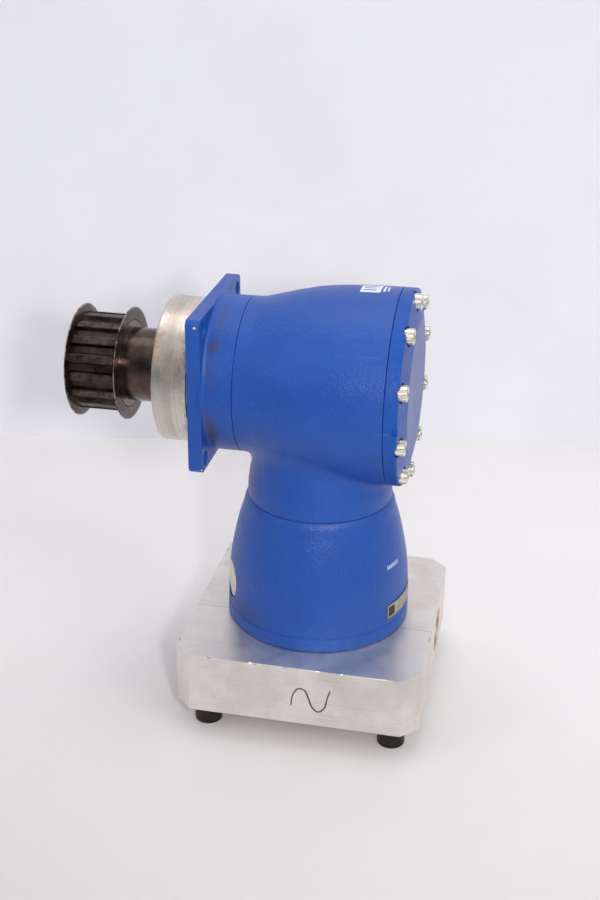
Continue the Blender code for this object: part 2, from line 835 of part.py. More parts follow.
def make_bevel_pinion():
    """The pinion with its stem, which ends in the clamp hub. Distances run down from the output axis."""
    hub = [
        (0.0095, 0.0430),
        (0.0095, 0.0490),
        (0.0180, 0.0530),
        (0.0180, 0.0606),
        (PINION_SHAFT_R, 0.0606),
        (PINION_SHAFT_R, AXIS_HEIGHT - 0.0905),
        (0.0124, AXIS_HEIGHT - 0.0905),
        (0.0124, AXIS_HEIGHT - 0.079),
    ]
    pinion = bevel_gear("bevel_pinion", PINION_TEETH, CROWN_TEETH, 3, 0.0, -1, hub, BOLT_STEPS)
    finish(pinion, material("pinion_steel", GEAR_STEEL, 0.25, 1.0), 20)


# ---- input seal and clamp hub ----


def make_input_seal():
    look = material("input_seal_rubber", RUBBER, 0.5, 0.0)
    ring("input_seal", clear(PINION_SHAFT_R, SMALL_STEPS), 0.026, 0.0915, 0.0985, SMALL_STEPS, BODY, look)


def make_clamp_hub():
    """The slit hub that grips the motor shaft."""
    turn = (0, 0, CLAMP_AZIMUTH)
    profile = [
        (CLAMP_HUB_R, 0.0900),
        (CLAMP_HUB_R, 0.0480),
        (0.0140, 0.0480),
        (0.0140, 0.0785),
        (0.0127, 0.0785),
        (0.0127, 0.0900),
    ]
    hub = turned("clamp_hub", profile, SHAFT_STEPS, BODY, rotation=turn)
    heading = Matrix.Rotation(CLAMP_AZIMUTH, 3, "Z")
    slit_at = heading @ Vector((0, 0.025, 0.060))
    slit = as_cutter(block("hub_slit", (0.003, 0.03, 0.030), BODY, slit_at, turn))
    screw_hole = drill("clamp_screw_hole", 0.0043, -0.0165, 0.02, SCREW_STEPS, BODY)
    counterbore = drill("clamp_counterbore", 0.0068, 0.0077, 0.04, SMALL_STEPS, BODY)
    for cutter in (screw_hole, counterbore):
        cutter.location = heading @ Vector((0, CLAMP_SCREW_OFFSET, PLUG_Z))
        cutter.rotation_euler = (0, math.pi / 2, CLAMP_AZIMUTH)
    cut(hub, slit, screw_hole, counterbore)
    finish(hub, material("hub_steel", DARK_STEEL, 0.4, 1.0))


def make_clamp_screw():
    """The M8 screw across the hub, in line with the access plug."""
    head_top = 0.0160
    head_low = 0.0080
    profile = [
        (0, head_top),
        (0.0065, head_top),
        (0.0065, head_low),
        (0.0040, head_low),
        (0.0040, -0.0160),
        (0, -0.0160),
    ]
    spot = Matrix.Rotation(CLAMP_AZIMUTH, 3, "Z") @ Vector((0, CLAMP_SCREW_OFFSET, PLUG_Z))
    sideways = (0, math.pi / 2, CLAMP_AZIMUTH)
    screw = turned("clamp_screw", profile, SCREW_STEPS, BODY, spot, sideways)
    cut(screw, socket("clamp_socket", 0.006, 0.012, 0.03, BODY, spot, sideways))
    finish(screw, material("clamp_screw_steel", (0.05, 0.05, 0.05), 0.4, 0.9))


# ---- output shaft with the planet carrier ----


def pin_holes(name):
    spots = around(PLANETS, CARRIER_R)
    return drill(name, clear(PLANET_PIN_R, SCREW_STEPS), -0.06, 0.0, SCREW_STEPS, OUTPUT, spots)


def make_output_shaft():
    """The output shaft, whose inner end is the carrier's front disc with three posts."""
    profile = [
        (0, -0.0410),
        (0.035, -0.0410),
        (0.035, -0.0470),
        (0.027, -0.0470),
        (0.027, -0.0484),
        (JOURNAL_R, -0.0484),
        (JOURNAL_R, PILOT_FRONT - 0.0002),
        (SHAFT_R, PILOT_FRONT - 0.0002),
        (SHAFT_R, SHAFT_END),
        (0.0053, SHAFT_END),
        (0.0053, -0.1270),
        (0, -0.1270),
    ]
    shaft = turned("output_shaft", profile, SHAFT_STEPS, OUTPUT)
    posts = bmesh.new()
    for spot in around(PLANETS, 0.027, math.pi / PLANETS):
        add_rod(posts, 0.0072, -0.0440, CARRIER_PLATE_SPAN[0] - GAP, SCREW_STEPS, spot)
    join(shaft, mesh_object("carrier_posts", posts, OUTPUT))
    keyway = as_cutter(block("shaft_keyway", (0.0106, 0.0106, 0.0407), OUTPUT, (-0.0161, 0, -0.1250)))
    cut(shaft, keyway, pin_holes("disc_pin_holes"))
    finish(shaft, material("shaft_steel", BRIGHT_STEEL, 0.3, 1.0))


def make_carrier_plate():
    look = material("carrier_steel", GEAR_STEEL, 0.35, 1.0)
    low, high = CARRIER_PLATE_SPAN
    outline = [(0.0355, high), (0.0355, low), (0.013, low), (0.013, high)]
    plate = turned("carrier_plate", outline, SHAFT_STEPS, OUTPUT)
    cut(plate, pin_holes("plate_pin_holes"))
    finish(plate, look)


# ---- pulley and what holds it ----


def pulley_outline():
    """Trapezoid teeth between the belt grooves, narrower at the tip than at the root."""
    pitch_turn = 2 * math.pi / PULLEY_TEETH
    land = 0.0054 / PULLEY_TIP_R
    root = 0.0071 / PULLEY_ROOT_R
    points = []
    for i in range(PULLEY_TEETH):
        middle = i * pitch_turn
        for radius, turn in (
            (PULLEY_ROOT_R, -root / 2),
            (PULLEY_TIP_R, -land / 2),
            (PULLEY_TIP_R, land / 2),
            (PULLEY_ROOT_R, root / 2),
        ):
            points.append((radius * math.cos(middle + turn), radius * math.sin(middle + turn)))
    return points


def make_pulley():
    edge = 0.0022
    rest_r = PULLEY_ROOT_R - 0.0004
    teeth = prism("pulley", [pulley_outline()], PULLEY_FRONT + edge, PULLEY_BACK - edge, OUTPUT)
    core = [
        (0, PULLEY_HUB_END),
        (PULLEY_HUB_R - 0.0006, PULLEY_HUB_END),
        (PULLEY_HUB_R, PULLEY_HUB_END - 0.0006),
        (PULLEY_HUB_R, PULLEY_BACK),
        (rest_r, PULLEY_BACK),
        (rest_r, PULLEY_FRONT),
        (0, PULLEY_FRONT),
    ]
    join(teeth, turned("pulley_core", core, SHAFT_STEPS, OUTPUT))
    cut(
        teeth,
        drill("pulley_bore", SHAFT_R + GAP, -0.17, -0.09, SHAFT_STEPS, OUTPUT),
        drill("pulley_counterbore", 0.0195, -0.17, SHAFT_END - 0.0004, SHAFT_STEPS, OUTPUT),
        as_cutter(block("pulley_keyway", (0.0076, 0.0106, 0.09), OUTPUT, (-0.0160, 0, -0.13))),
    )
    finish(teeth, material("pulley_steel", DARK_STEEL, 0.35, 1.0))


def make_pulley_flanges():
    """Two pressed rings, flared away from the belt."""
    look = material("pulley_flange_steel", (0.14, 0.12, 0.11), 0.35, 1.0)
    bore = PULLEY_ROOT_R + GAP - 0.0004
    rim = PULLEY_FLANGE_R
    front = PULLEY_FRONT
    back = PULLEY_BACK
    outer = [(bore, front + 0.0019), (rim, front + 0.0012), (rim, front), (bore, front)]
    inner = [(bore, back), (rim, back), (rim, back - 0.0012), (bore, back - 0.0019)]
    finish(turned("pulley_flange_outer", outer, HOUSING_STEPS, OUTPUT), look)
    finish(turned("pulley_flange_inner", inner, HOUSING_STEPS, OUTPUT), look)


def make_shaft_key():
    key = block("shaft_key", (0.008, 0.010, 0.040), OUTPUT, (-0.0151, 0, -0.1250))
    bevel(key, 0.0004)
    finish(key, material("key_steel", BRIGHT_STEEL, 0.35, 1.0))


def make_end_fixing():
    """The washer and low-head screw in the pulley's outer face."""
    washer_low, washer_high = SHAFT_END - 0.0037, SHAFT_END - 0.0007
    look = material("end_washer_steel", (0.35, 0.34, 0.32), 0.35, 1.0)
    ring("end_washer", 0.0055, 0.019, washer_low, washer_high, SMALL_STEPS, OUTPUT, look)
    head_high = washer_low - GAP
    head_low = head_high - 0.0038
    profile = [
        (0, -0.130),
        (0.005, -0.130),
        (0.005, head_high),
        (0.0085, head_high),
        (0.0085, head_low),
        (0, head_low),
    ]
    screw = turned("end_screw", profile, SMALL_STEPS, OUTPUT)
    cut(screw, socket("end_socket", 0.006, head_low - 0.01, head_low + 0.0025, OUTPUT))
    finish(screw, material("end_screw_steel", (0.08, 0.075, 0.07), 0.4, 0.9))


make_motor_plate()
make_motor_bolts()
make_adapter_screws()
make_input_housing()
make_access_plug()
make_nameplate()
make_gear_housing()
make_rear_cover()
make_cover_screws()
make_cover_o_ring()
make_output_housing()
make_pilot_sleeve()
make_output_seal()
make_bearings()
make_ring_gear()
make_planets()
make_sun_shaft()
make_crown_wheel()
make_crown_nut()
make_bevel_pinion()
make_input_seal()
make_clamp_hub()
make_clamp_screw()
make_output_shaft()
make_carrier_plate()
make_pulley()
make_pulley_flanges()
make_shaft_key()
make_end_fixing()
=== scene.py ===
"""Looks for the right-angle servo gearbox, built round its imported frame."""

import math
import random

import bmesh
import bpy
from mathutils import Matrix, Vector


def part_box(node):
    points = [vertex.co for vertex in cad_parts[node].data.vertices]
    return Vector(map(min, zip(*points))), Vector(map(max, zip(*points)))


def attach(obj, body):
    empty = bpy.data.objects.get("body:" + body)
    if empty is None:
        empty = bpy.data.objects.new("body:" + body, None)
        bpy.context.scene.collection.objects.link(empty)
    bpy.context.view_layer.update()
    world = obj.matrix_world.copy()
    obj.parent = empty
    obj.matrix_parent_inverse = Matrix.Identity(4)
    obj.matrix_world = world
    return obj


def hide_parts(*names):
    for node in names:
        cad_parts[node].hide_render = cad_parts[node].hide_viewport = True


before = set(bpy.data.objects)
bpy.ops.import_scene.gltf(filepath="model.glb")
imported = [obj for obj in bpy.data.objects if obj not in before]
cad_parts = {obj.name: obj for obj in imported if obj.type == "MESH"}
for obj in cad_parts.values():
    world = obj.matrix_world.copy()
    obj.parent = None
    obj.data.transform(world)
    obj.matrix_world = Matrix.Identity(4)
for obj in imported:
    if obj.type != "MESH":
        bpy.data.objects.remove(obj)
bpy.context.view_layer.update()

# ---- the frame's own places, in metres ----


def middle(node):
    low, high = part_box(node)
    return (low + high) / 2


AXIS_Z = middle("pilot_sleeve").z
AXIS_X = middle("input_housing").x
PLATE_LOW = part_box("motor_plate")[0].z
PLATE_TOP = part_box("motor_plate")[1].z - PLATE_LOW
PLATE_HALF = (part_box("motor_plate")[1].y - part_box("motor_plate")[0].y) / 2
ROUND = 112  # segments of a large turned piece
SKIN = 0.00012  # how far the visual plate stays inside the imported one
SIDE_HOLE_Y, SIDE_HOLE_Z = 0.020, 0.0202
# STEP_EDGE_Y: where the painted edge of an unmodelled shallow milled step crosses the plate's top.
STEP_EDGE_Y = -0.0185
FLANGE_HALF = 0.0505
FLANGE_FRONT, FLANGE_BACK = -0.0752, -0.0661
TOOTH_TIP_R = 0.0319
TAP_R = 0.0029  # the cover screws' clearance holes

# Pieces on the output axis are drawn about local Z, which points along world +X, with local X down.
OUTPUT = Matrix.Translation((AXIS_X, 0, AXIS_Z)) @ Matrix.Rotation(math.pi / 2, 4, "Y")
INPUT = Matrix.Translation((AXIS_X, 0, PLATE_LOW))


def around(count, radius, start=0.0):
    turns = [start + 2 * math.pi * i / count for i in range(count)]
    return [(radius * math.cos(t), radius * math.sin(t)) for t in turns]


# ---- mesh helpers ----


def rounded(points, radius=0.0004, closed=False, steps=3):
    """The profile with each real corner turned into a small arc."""
    out = []
    count = len(points)
    for i, point in enumerate(points):
        if not closed and i in (0, count - 1):
            out.append(tuple(point))
            continue
        here = Vector(point)
        back = Vector(points[i - 1]) - here
        ahead = Vector(points[(i + 1) % count]) - here
        bend = math.pi - back.angle(ahead)
        if bend < math.radians(14):
            out.append(tuple(point))
            continue
        reach = min(radius * math.tan(bend / 2), back.length * 0.45, ahead.length * 0.45)
        start = here + back.normalized() * reach
        end = here + ahead.normalized() * reach
        for k in range(steps + 1):
            t = k / steps
            spot = start * (1 - t) ** 2 + here * 2 * t * (1 - t) + end * t**2
            out.append(tuple(spot))
    return out


def link(obj, place):
    bpy.context.scene.collection.objects.link(obj)
    obj.matrix_world = place
    return obj


def from_bmesh(name, shape, place=INPUT):
    bmesh.ops.recalc_face_normals(shape, faces=shape.faces)
    mesh = bpy.data.meshes.new(name)
    shape.to_mesh(mesh)
    shape.free()
    return link(bpy.data.objects.new(name, mesh), place)


def add_lathe(shape, profile, segments=ROUND):
    """A surface of revolution about local Z from (radius, height) points, added to a bmesh."""
    rings = []
    for radius, height in profile:
        if radius < 1e-7:
            rings.append([shape.verts.new((0, 0, height))])
        else:
            rings.append([shape.verts.new((x, y, height)) for x, y in around(segments, radius)])
    pairs = list(zip(rings, rings[1:]))
    if len(rings[0]) > 1 and len(rings[-1]) > 1:
        pairs.append((rings[-1], rings[0]))
    for low, high in pairs:
        for i in range(segments):
            j = (i + 1) % segments
            if len(low) == 1 and len(high) == 1:
                break
            if len(low) == 1:
                shape.faces.new((low[0], high[i], high[j]))
            elif len(high) == 1:
                shape.faces.new((low[i], high[0], low[j]))
            else:
                shape.faces.new((low[i], high[i], high[j], low[j]))


def lathe(name, profile, place=OUTPUT, segments=ROUND, round_by=0.0004):
    """A turned piece: a profile with a zero radius at both ends is solid, any other is a ring."""
    closed = profile[0][0] > 0
    shape = bmesh.new()
    add_lathe(shape, rounded(profile, round_by, closed), segments)
    return from_bmesh(name, shape, place)


def cones(name, low_r, high_r, low, high, spots=((0, 0),), place=OUTPUT, sides=40):
    """A cutter of parallel cones along local Z."""
    shape = bmesh.new()
    for spot in spots:
        bmesh.ops.create_cone(
            shape,
            cap_ends=True,
            segments=sides,
            radius1=low_r,
            radius2=high_r,
            depth=high - low,
            matrix=Matrix.Translation((*spot, (low + high) / 2)),
        )
    return from_bmesh(name, shape, place)


def rods(name, radius, low, high, spots=((0, 0),), place=OUTPUT, sides=40):
    """A cutter of parallel rods along local Z."""
    return cones(name, radius, radius, low, high, spots, place, sides)


def box_piece(name, low, high, place, chamfer=0.0, edge=0.0):
    """A box between two corners, its edges along Z chamfered and every edge then rounded a little."""
    size = [b - a for a, b in zip(low, high)]
    centre = [(a + b) / 2 for a, b in zip(low, high)]
    shape = bmesh.new()
    bmesh.ops.create_cube(shape, size=1, matrix=Matrix.Translation(centre) @ Matrix.Diagonal((*size, 1)))
    if chamfer:
        upright = [e for e in shape.edges if abs(e.verts[0].co.z - e.verts[1].co.z) > size[2] / 2]
        bmesh.ops.bevel(shape, geom=upright, offset=chamfer, segments=1, affect="EDGES")
    if edge:
        bmesh.ops.bevel(shape, geom=list(shape.edges), offset=edge, segments=2, affect="EDGES", profile=0.5)
    return from_bmesh(name, shape, place)


def apply_all(obj):
    bpy.context.view_layer.update()
    graph = bpy.context.evaluated_depsgraph_get()
    made = bpy.data.meshes.new_from_object(obj.evaluated_get(graph))
    obj.modifiers.clear()
    old = obj.data
    obj.data = made
    made.name = obj.name
    bpy.data.meshes.remove(old)


def boolean(obj, operation, *others):
    for other in others:
        step = obj.modifiers.new(operation, "BOOLEAN")
        step.operation = operation
        step.object = other
        step.solver = "EXACT"
    apply_all(obj)
    for other in others:
        bpy.data.objects.remove(other)


def cut(obj, *cutters):
    boolean(obj, "DIFFERENCE", *cutters)


def dress(obj, look, body, nodes=(), sharp=38.0, weighted=True):
    """Shades a piece, gives it its material and hangs it on its body in its nodes' stead."""
    mesh = obj.data
    mesh.shade_smooth()
    mesh.set_sharp_from_angle(angle=math.radians(sharp))
    if weighted:
        step = obj.modifiers.new("normals", "WEIGHTED_NORMAL")
        step.keep_sharp = True
        step.weight = 50
    mesh.materials.clear()
    mesh.materials.append(look)
    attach(obj, body)
    if nodes:
        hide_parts(*nodes)
    return obj


# ---- material helpers ----


class Look:
    """A small wrapper that wires shader nodes."""

    def __init__(self, name, roughness=0.5, metallic=0.0, **fixed):
        self.material = bpy.data.materials.new(name)
        self.material.use_nodes = True
        self.nodes = self.material.node_tree.nodes
        self.links = self.material.node_tree.links
        self.shader = self.nodes["Principled BSDF"]
        self.shader.inputs["Roughness"].default_value = roughness
        self.shader.inputs["Metallic"].default_value = metallic
        for key, value in fixed.items():
            self.shader.inputs[key.replace("_", " ")].default_value = value
        self.place = self.nodes.new("ShaderNodeTexCoord").outputs["Object"]

    def put(self, socket, value):
        if isinstance(value, bpy.types.NodeSocket):
            self.links.new(value, socket)
        elif hasattr(value, "__len__") and len(value) == 3 and len(socket.default_value) == 4:
            socket.default_value = (*value, 1)
        else:
            socket.default_value = value

    def set(self, name, value):
        self.put(self.shader.inputs[name], value)

    def math(self, operation, *values):
        node = self.nodes.new("ShaderNodeMath")
        node.operation = operation
        for socket, value in zip(node.inputs, values):
            self.put(socket, value)
        return node.outputs[0]

    def mapped(self, scale=(1, 1, 1), offset=(0, 0, 0), source=None):
        node = self.nodes.new("ShaderNodeMapping")
        self.put(node.inputs["Vector"], source or self.place)
        node.inputs["Scale"].default_value = scale
        node.inputs["Location"].default_value = offset
        return node.outputs[0]

    def noise(self, scale, detail=3.0, roughness=0.55, vector=None, distortion=0.0):
        node = self.nodes.new("ShaderNodeTexNoise")
        self.put(node.inputs["Vector"], vector or self.place)
        node.inputs["Scale"].default_value = scale
        node.inputs["Detail"].default_value = detail
        node.inputs["Roughness"].default_value = roughness
        node.inputs["Distortion"].default_value = distortion
        return node.outputs["Fac"]

    def cells(self, scale):
        node = self.nodes.new("ShaderNodeTexVoronoi")
        self.put(node.inputs["Vector"], self.place)
        node.inputs["Scale"].default_value = scale
        return node.outputs["Distance"]

    def step(self, value, low, high, into=(0.0, 1.0)):
        node = self.nodes.new("ShaderNodeMapRange")
        node.interpolation_type = "SMOOTHSTEP"
        self.put(node.inputs["Value"], value)
        node.inputs["From Min"].default_value = low
        node.inputs["From Max"].default_value = high
        node.inputs["To Min"].default_value = into[0]
        node.inputs["To Max"].default_value = into[1]
        return node.outputs[0]

    def mix(self, share, first, second):
        node = self.nodes.new("ShaderNodeMix")
        node.data_type = "RGBA"
        self.put(node.inputs[0], share)
        self.put(node.inputs[6], first)
        self.put(node.inputs[7], second)
        return node.outputs[2]

    def axes(self):
        node = self.nodes.new("ShaderNodeSeparateXYZ")
        self.put(node.inputs[0], self.place)
        return node.outputs

    def joined(self, x, y, z):
        node = self.nodes.new("ShaderNodeCombineXYZ")
        for socket, value in zip(node.inputs, (x, y, z)):
            self.put(socket, value)
        return node.outputs[0]

    def polar(self):
        """(radius, turn in radians, height) about the piece's own Z axis."""
        x, y, z = self.axes()
        return self.length(x, y), self.math("ARCTAN2", y, x), z

    def length(self, x, y):
        return self.math("SQRT", self.math("ADD", self.both(x, x), self.both(y, y)))

    def distance(self, point):
        node = self.nodes.new("ShaderNodeVectorMath")
        node.operation = "DISTANCE"
        self.put(node.inputs[0], self.place)
        node.inputs[1].default_value = point
        return node.outputs["Value"]

    def near(self, value, centre, reach, fade):
        """1 within reach of a centre, falling to 0 over fade."""
        away = self.math("ABSOLUTE", self.math("SUBTRACT", value, centre))
        return self.step(away, reach, reach + fade, (1.0, 0.0))

    def both(self, *values):
        """Every share times every other."""
        result = values[0]
        for value in values[1:]:
            result = self.math("MULTIPLY", result, value)
        return result

    def tint(self, colour, tone, *shares):
        """The colour with a tone laid over it, as strongly as all the shares say together."""
        return self.mix(self.both(*shares), colour, tone)

    def bump(self, height, distance, strength=1.0, below=None):
        node = self.nodes.new("ShaderNodeBump")
        self.put(node.inputs["Height"], height)
        node.inputs["Distance"].default_value = distance
        node.inputs["Strength"].default_value = strength
        if below:
            self.put(node.inputs["Normal"], below)
        return node.outputs[0]


def scratches(look, length_axis, fine, vector=None, width=0.02, density=0.5):
    """Thin broken lines along one axis."""
    scale = [fine, fine, fine]
    scale[length_axis] = fine * width
    lines = look.noise(1.0, 2.0, 0.5, look.mapped(tuple(scale), source=vector))
    return look.step(lines, 0.62 - 0.04 * density, 0.70)


BLUE = (0.012, 0.078, 0.375)
BLUE_DEEP = (0.008, 0.055, 0.295)
BLUE_PALE = (0.050, 0.150, 0.47)
# SHADE_AND_GRIME darkens the ragged patches: painted shade on the output housing, grime on the bell.
SHADE_AND_GRIME = (0.055, 0.050, 0.060)
# DUST_AND_SHEEN tints the dust specks, and the pale painted reflection on the cover's face.
DUST_AND_SHEEN = (0.34, 0.32, 0.35)
BARE = (0.62, 0.60, 0.58)


def shade_and_grime(look, turn, height, places):
    """Ragged dark patches near each (angle, reach, height, reach, strength); on the output housing they are
    painted shade of unmodelled hollows.
    """
    ragged = look.step(look.noise(95.0, 5.0, 0.65), 0.36, 0.62)
    marks = None
    for angle, angle_reach, z, z_reach, strength in places:
        spot = look.both(
            look.near(turn, angle, angle_reach * 0.3, angle_reach),
            look.near(height, z, z_reach * 0.2, z_reach),
            ragged,
            strength,
        )
        marks = spot if marks is None else look.math("MAXIMUM", marks, spot)
    return marks


def chipped(look, colour, places):
    """The colour with bare metal at each (x, y, z, radius), its edge ragged."""
    ragged = look.math("SUBTRACT", look.noise(800.0, 3.0, 0.6), 0.5)
    for x, y, z, reach in places:
        away = look.math("ADD", look.distance((x, y, z)), look.both(ragged, reach * 1.6))
        colour = look.mix(look.step(away, reach, reach * 0.8), colour, BARE)
    return colour


def paint(name, shade_and_grime_at=(), chips_at=(), rub=0.0, gloss=0.36, sheen_within=0.0):
    """Semi-gloss blue paint over a cast shell, with orange peel, specks, scuffs, chips, ragged dark patches
    of grime and painted shade, and a pale painted reflection inside a given radius.
    """
    look = Look(name, roughness=0.36, Specular_IOR_Level=gloss)
    radius, turn, height = look.polar()
    broad = look.noise(16.0, 3.0, 0.6)
    fine = look.noise(1050.0, 2.0, 0.6)
    coarse = look.noise(420.0, 2.0, 0.5)
    colour = look.mix(look.step(broad, 0.30, 0.70, (0.45, 1.0)), BLUE_DEEP, BLUE)
    colour = look.tint(colour, BLUE_PALE, look.step(fine, 0.56, 0.74), 0.34)
    colour = look.tint(colour, BLUE_DEEP, look.step(fine, 0.45, 0.30), 0.40)
    sprinkled = look.step(look.noise(48.0, 2.0, 0.6), 0.50, 0.62)
    colour = look.tint(colour, DUST_AND_SHEEN, look.step(look.cells(330.0), 0.085, 0.05), sprinkled, 0.65)
    scuff = scratches(look, 2, 380.0, look.mapped((1, 1, 1), (0.3, 0.1, 0.2)), 0.05, 0.2)
    colour = look.tint(colour, BLUE_PALE, scuff, look.step(look.noise(34.0, 2.0), 0.58, 0.68), 0.45)
    rough = look.step(broad, 0.3, 0.7, (0.30, 0.41))
    # Ragged dark patches: painted shade where they stand in for unmodelled hollows, as on the output
    # housing.
    if shade_and_grime_at:
        marks = shade_and_grime(look, turn, height, shade_and_grime_at)
        colour = look.mix(marks, colour, SHADE_AND_GRIME)
        rough = look.math("MAXIMUM", rough, look.both(marks, 0.7))
    colour = chipped(look, colour, chips_at)
    # Painted reflection: a pale cloudy film over the flat face inside this radius, for the bright
    # background seen at a grazing angle.
    if sheen_within:
        film = look.step(radius, sheen_within, sheen_within - 0.0008, (0.0, 0.26))
        cloud = look.step(look.noise(70.0, 4.0, 0.6), 0.15, 0.60, (0.6, 1.0))
        colour = look.tint(colour, DUST_AND_SHEEN, film, cloud)
    if rub:
        colour = look.tint(colour, BLUE_PALE, look.step(look.noise(230.0, 4.0, 0.65), 0.62, 0.70), rub)
    look.set("Base Color", colour)
    look.set("Roughness", rough)
    rise = look.math("ADD", look.both(coarse, 0.45), look.both(fine, 0.55))
    look.set("Normal", look.bump(rise, 0.00055, 0.9))
    return look.material


def turned_steel(name, bright, dark, roughness, stains=()):
    """Steel with fine turning rings round its own Z axis, cloudy stains and rust where it is named."""
    look = Look(name, roughness=roughness, metallic=1.0, Anisotropic=0.4)
    radius, turn, height = look.polar()
    across = look.joined(radius, 0.0, height)
    rings = look.noise(2600.0, 2.0, 0.6, across)
    bands = look.noise(240.0, 2.0, 0.5, across)
    cloud = look.noise(70.0, 4.0, 0.6)
    colour = look.mix(look.step(bands, 0.35, 0.68), dark, bright)
    colour = look.tint(colour, dark, look.step(rings, 0.48, 0.70), 0.45)
    colour = look.tint(colour, dark, look.step(cloud, 0.46, 0.70), 0.40)
    rough = look.step(cloud, 0.3, 0.7, (roughness * 0.8, roughness * 1.5))
    metal = 1.0
    unrolled = look.joined(look.both(turn, 4.0), 0.0, look.both(height, 520.0))
    streaked = look.noise(1.0, 4.0, 0.65, unrolled)
    ragged = look.noise(150.0, 5.0, 0.65, distortion=0.3)
    patchy = look.math("ADD", look.both(streaked, 0.45), look.both(ragged, 0.55))
    for angle, angle_reach, z, z_reach, strength, tone in stains:
        bloom = look.both(
            look.near(turn, angle, angle_reach * 0.3, angle_reach),
            look.near(height, z, z_reach * 0.3, z_reach),
            look.step(patchy, 0.42, 0.60),
            strength,
        )
        colour = look.mix(bloom, colour, tone)
        rough = look.math("MAXIMUM", rough, look.both(bloom, 0.65))
        metal = look.both(metal, look.math("SUBTRACT", 1.0, look.both(bloom, 0.6)))
    look.set("Base Color", colour)
    look.set("Roughness", rough)
    if stains:
        look.set("Metallic", metal)
    look.set("Normal", look.bump(rings, 0.00004, 0.5))
    return look.material


# ---- materials ----

PAINT_BELL = paint("blue_paint_bell", shade_and_grime_at=((-2.4, 0.5, 0.058, 0.008, 0.35),), rub=0.25)
PAINT_BARREL = paint("blue_paint_barrel", rub=0.12)
# The pale film on the cover's face is painted reflection.
PAINT_COVER = paint("blue_paint_cover", rub=0.2, gloss=0.22, sheen_within=0.0436)
# The dark patches round the barrel by the flange are painted shade of bolt-head scallops, which are not
# modelled.
PAINT_OUTPUT = paint(
    "blue_paint_output",
    shade_and_grime_at=(
        (math.radians(-152), 0.30, -0.0575, 0.0050, 0.55),
        (math.radians(-118), 0.34, -0.0605, 0.0052, 0.9),
        (math.radians(-60), 0.40, -0.0615, 0.0050, 0.8),
        (math.radians(120), 0.40, -0.0615, 0.0050, 0.6),
    ),
    chips_at=(
        (-0.0464, -FLANGE_HALF, -0.0690, 0.0009),
        (0.0480, -FLANGE_HALF, -0.0664, 0.0009),
        (-0.0500, -0.0300, -0.0751, 0.0007),
    ),
    rub=0.2,
)


def plate_metal():
    """Sawn and brushed aluminium: faint long lines on its faces, dings and stains, and across its top the
    painted light and shade of a shallow milled step, a lighter front and a dark line at its edge.
    """
    look = Look("plate_aluminium", roughness=0.4, metallic=1.0)
    x, y, z = look.axes()
    along_x = look.noise(1.0, 3.0, 0.6, look.mapped((28, 1500, 1500)))
    along_z = look.noise(1.0, 3.0, 0.6, look.mapped((900, 900, 24)))
    blotch = look.noise(42.0, 5.0, 0.65)
    patch = look.noise(13.0, 3.0, 0.55)
    colour = look.mix(look.step(blotch, 0.35, 0.65), (0.72, 0.672, 0.63), (0.83, 0.79, 0.755))
    colour = look.tint(colour, (0.50, 0.48, 0.46), look.step(along_x, 0.45, 0.70), 0.16)
    colour = look.tint(colour, (0.55, 0.51, 0.47), look.step(patch, 0.50, 0.66), 0.30)
    # Painted light and shade of that step: the top is lighter in front of its edge, and a dark line runs
    # along the edge.
    on_top = look.step(z, PLATE_TOP - 0.0010, PLATE_TOP - 0.0005)
    lit_front_of_step = look.step(y, STEP_EDGE_Y + 0.0002, STEP_EDGE_Y - 0.0004)
    colour = look.tint(colour, (0.92, 0.90, 0.88), lit_front_of_step, on_top, 0.22)
    colour = look.tint(colour, (0.22, 0.21, 0.20), look.near(y, STEP_EDGE_Y, 0.00012, 0.00022), on_top, 0.55)
    nicks = look.step(look.cells(230.0), 0.10, 0.05)
    nicks = look.both(nicks, look.step(look.noise(45.0, 2.0), 0.56, 0.62))
    lines = scratches(look, 0, 900.0, look.mapped((1, 1, 1), (0.02, 0.4, 0.1)), 0.012, 0.3)
    lines = look.both(lines, look.step(look.noise(30.0, 2.0), 0.5, 0.62))
    marks = look.math("MAXIMUM", nicks, lines)
    colour = look.tint(colour, (0.26, 0.24, 0.22), marks, 0.22)
    outward = look.math("MAXIMUM", look.math("ABSOLUTE", x), look.math("ABSOLUTE", y))
    colour = look.tint(
        colour,
        (0.10, 0.09, 0.08),
        look.near(z, PLATE_TOP, 0.0004, 0.0007),
        look.step(outward, PLATE_HALF - 0.0016, PLATE_HALF - 0.0008),
        look.step(look.noise(120.0, 4.0, 0.75), 0.58, 0.66),
        0.8,
    )
    off_bore = look.length(look.math("SUBTRACT", y, SIDE_HOLE_Y), look.math("SUBTRACT", z, SIDE_HOLE_Z))
    in_bore = look.both(look.step(off_bore, 0.0158, 0.0152), look.step(x, 0.030, 0.034))
    tan = look.mix(look.step(look.noise(120.0, 4.0), 0.35, 0.65), (0.30, 0.17, 0.085), (0.62, 0.46, 0.32))
    look.set("Base Color", look.tint(colour, tan, in_bore, 0.8))
    look.set("Metallic", look.math("SUBTRACT", 0.93, look.both(in_bore, 0.5)))
    look.set("Roughness", look.step(blotch, 0.3, 0.7, (0.34, 0.50)))
    grain = look.math("ADD", look.both(along_x, 0.6), look.both(along_z, 0.4))
    normal = look.bump(grain, 0.00006, 0.6)
    normal = look.bump(look.math("SUBTRACT", 1.0, marks), 0.0001, 0.5, normal)
    look.set("Normal", look.bump(look.noise(300.0, 3.0), 0.00005, 0.5, normal))
    return look.material


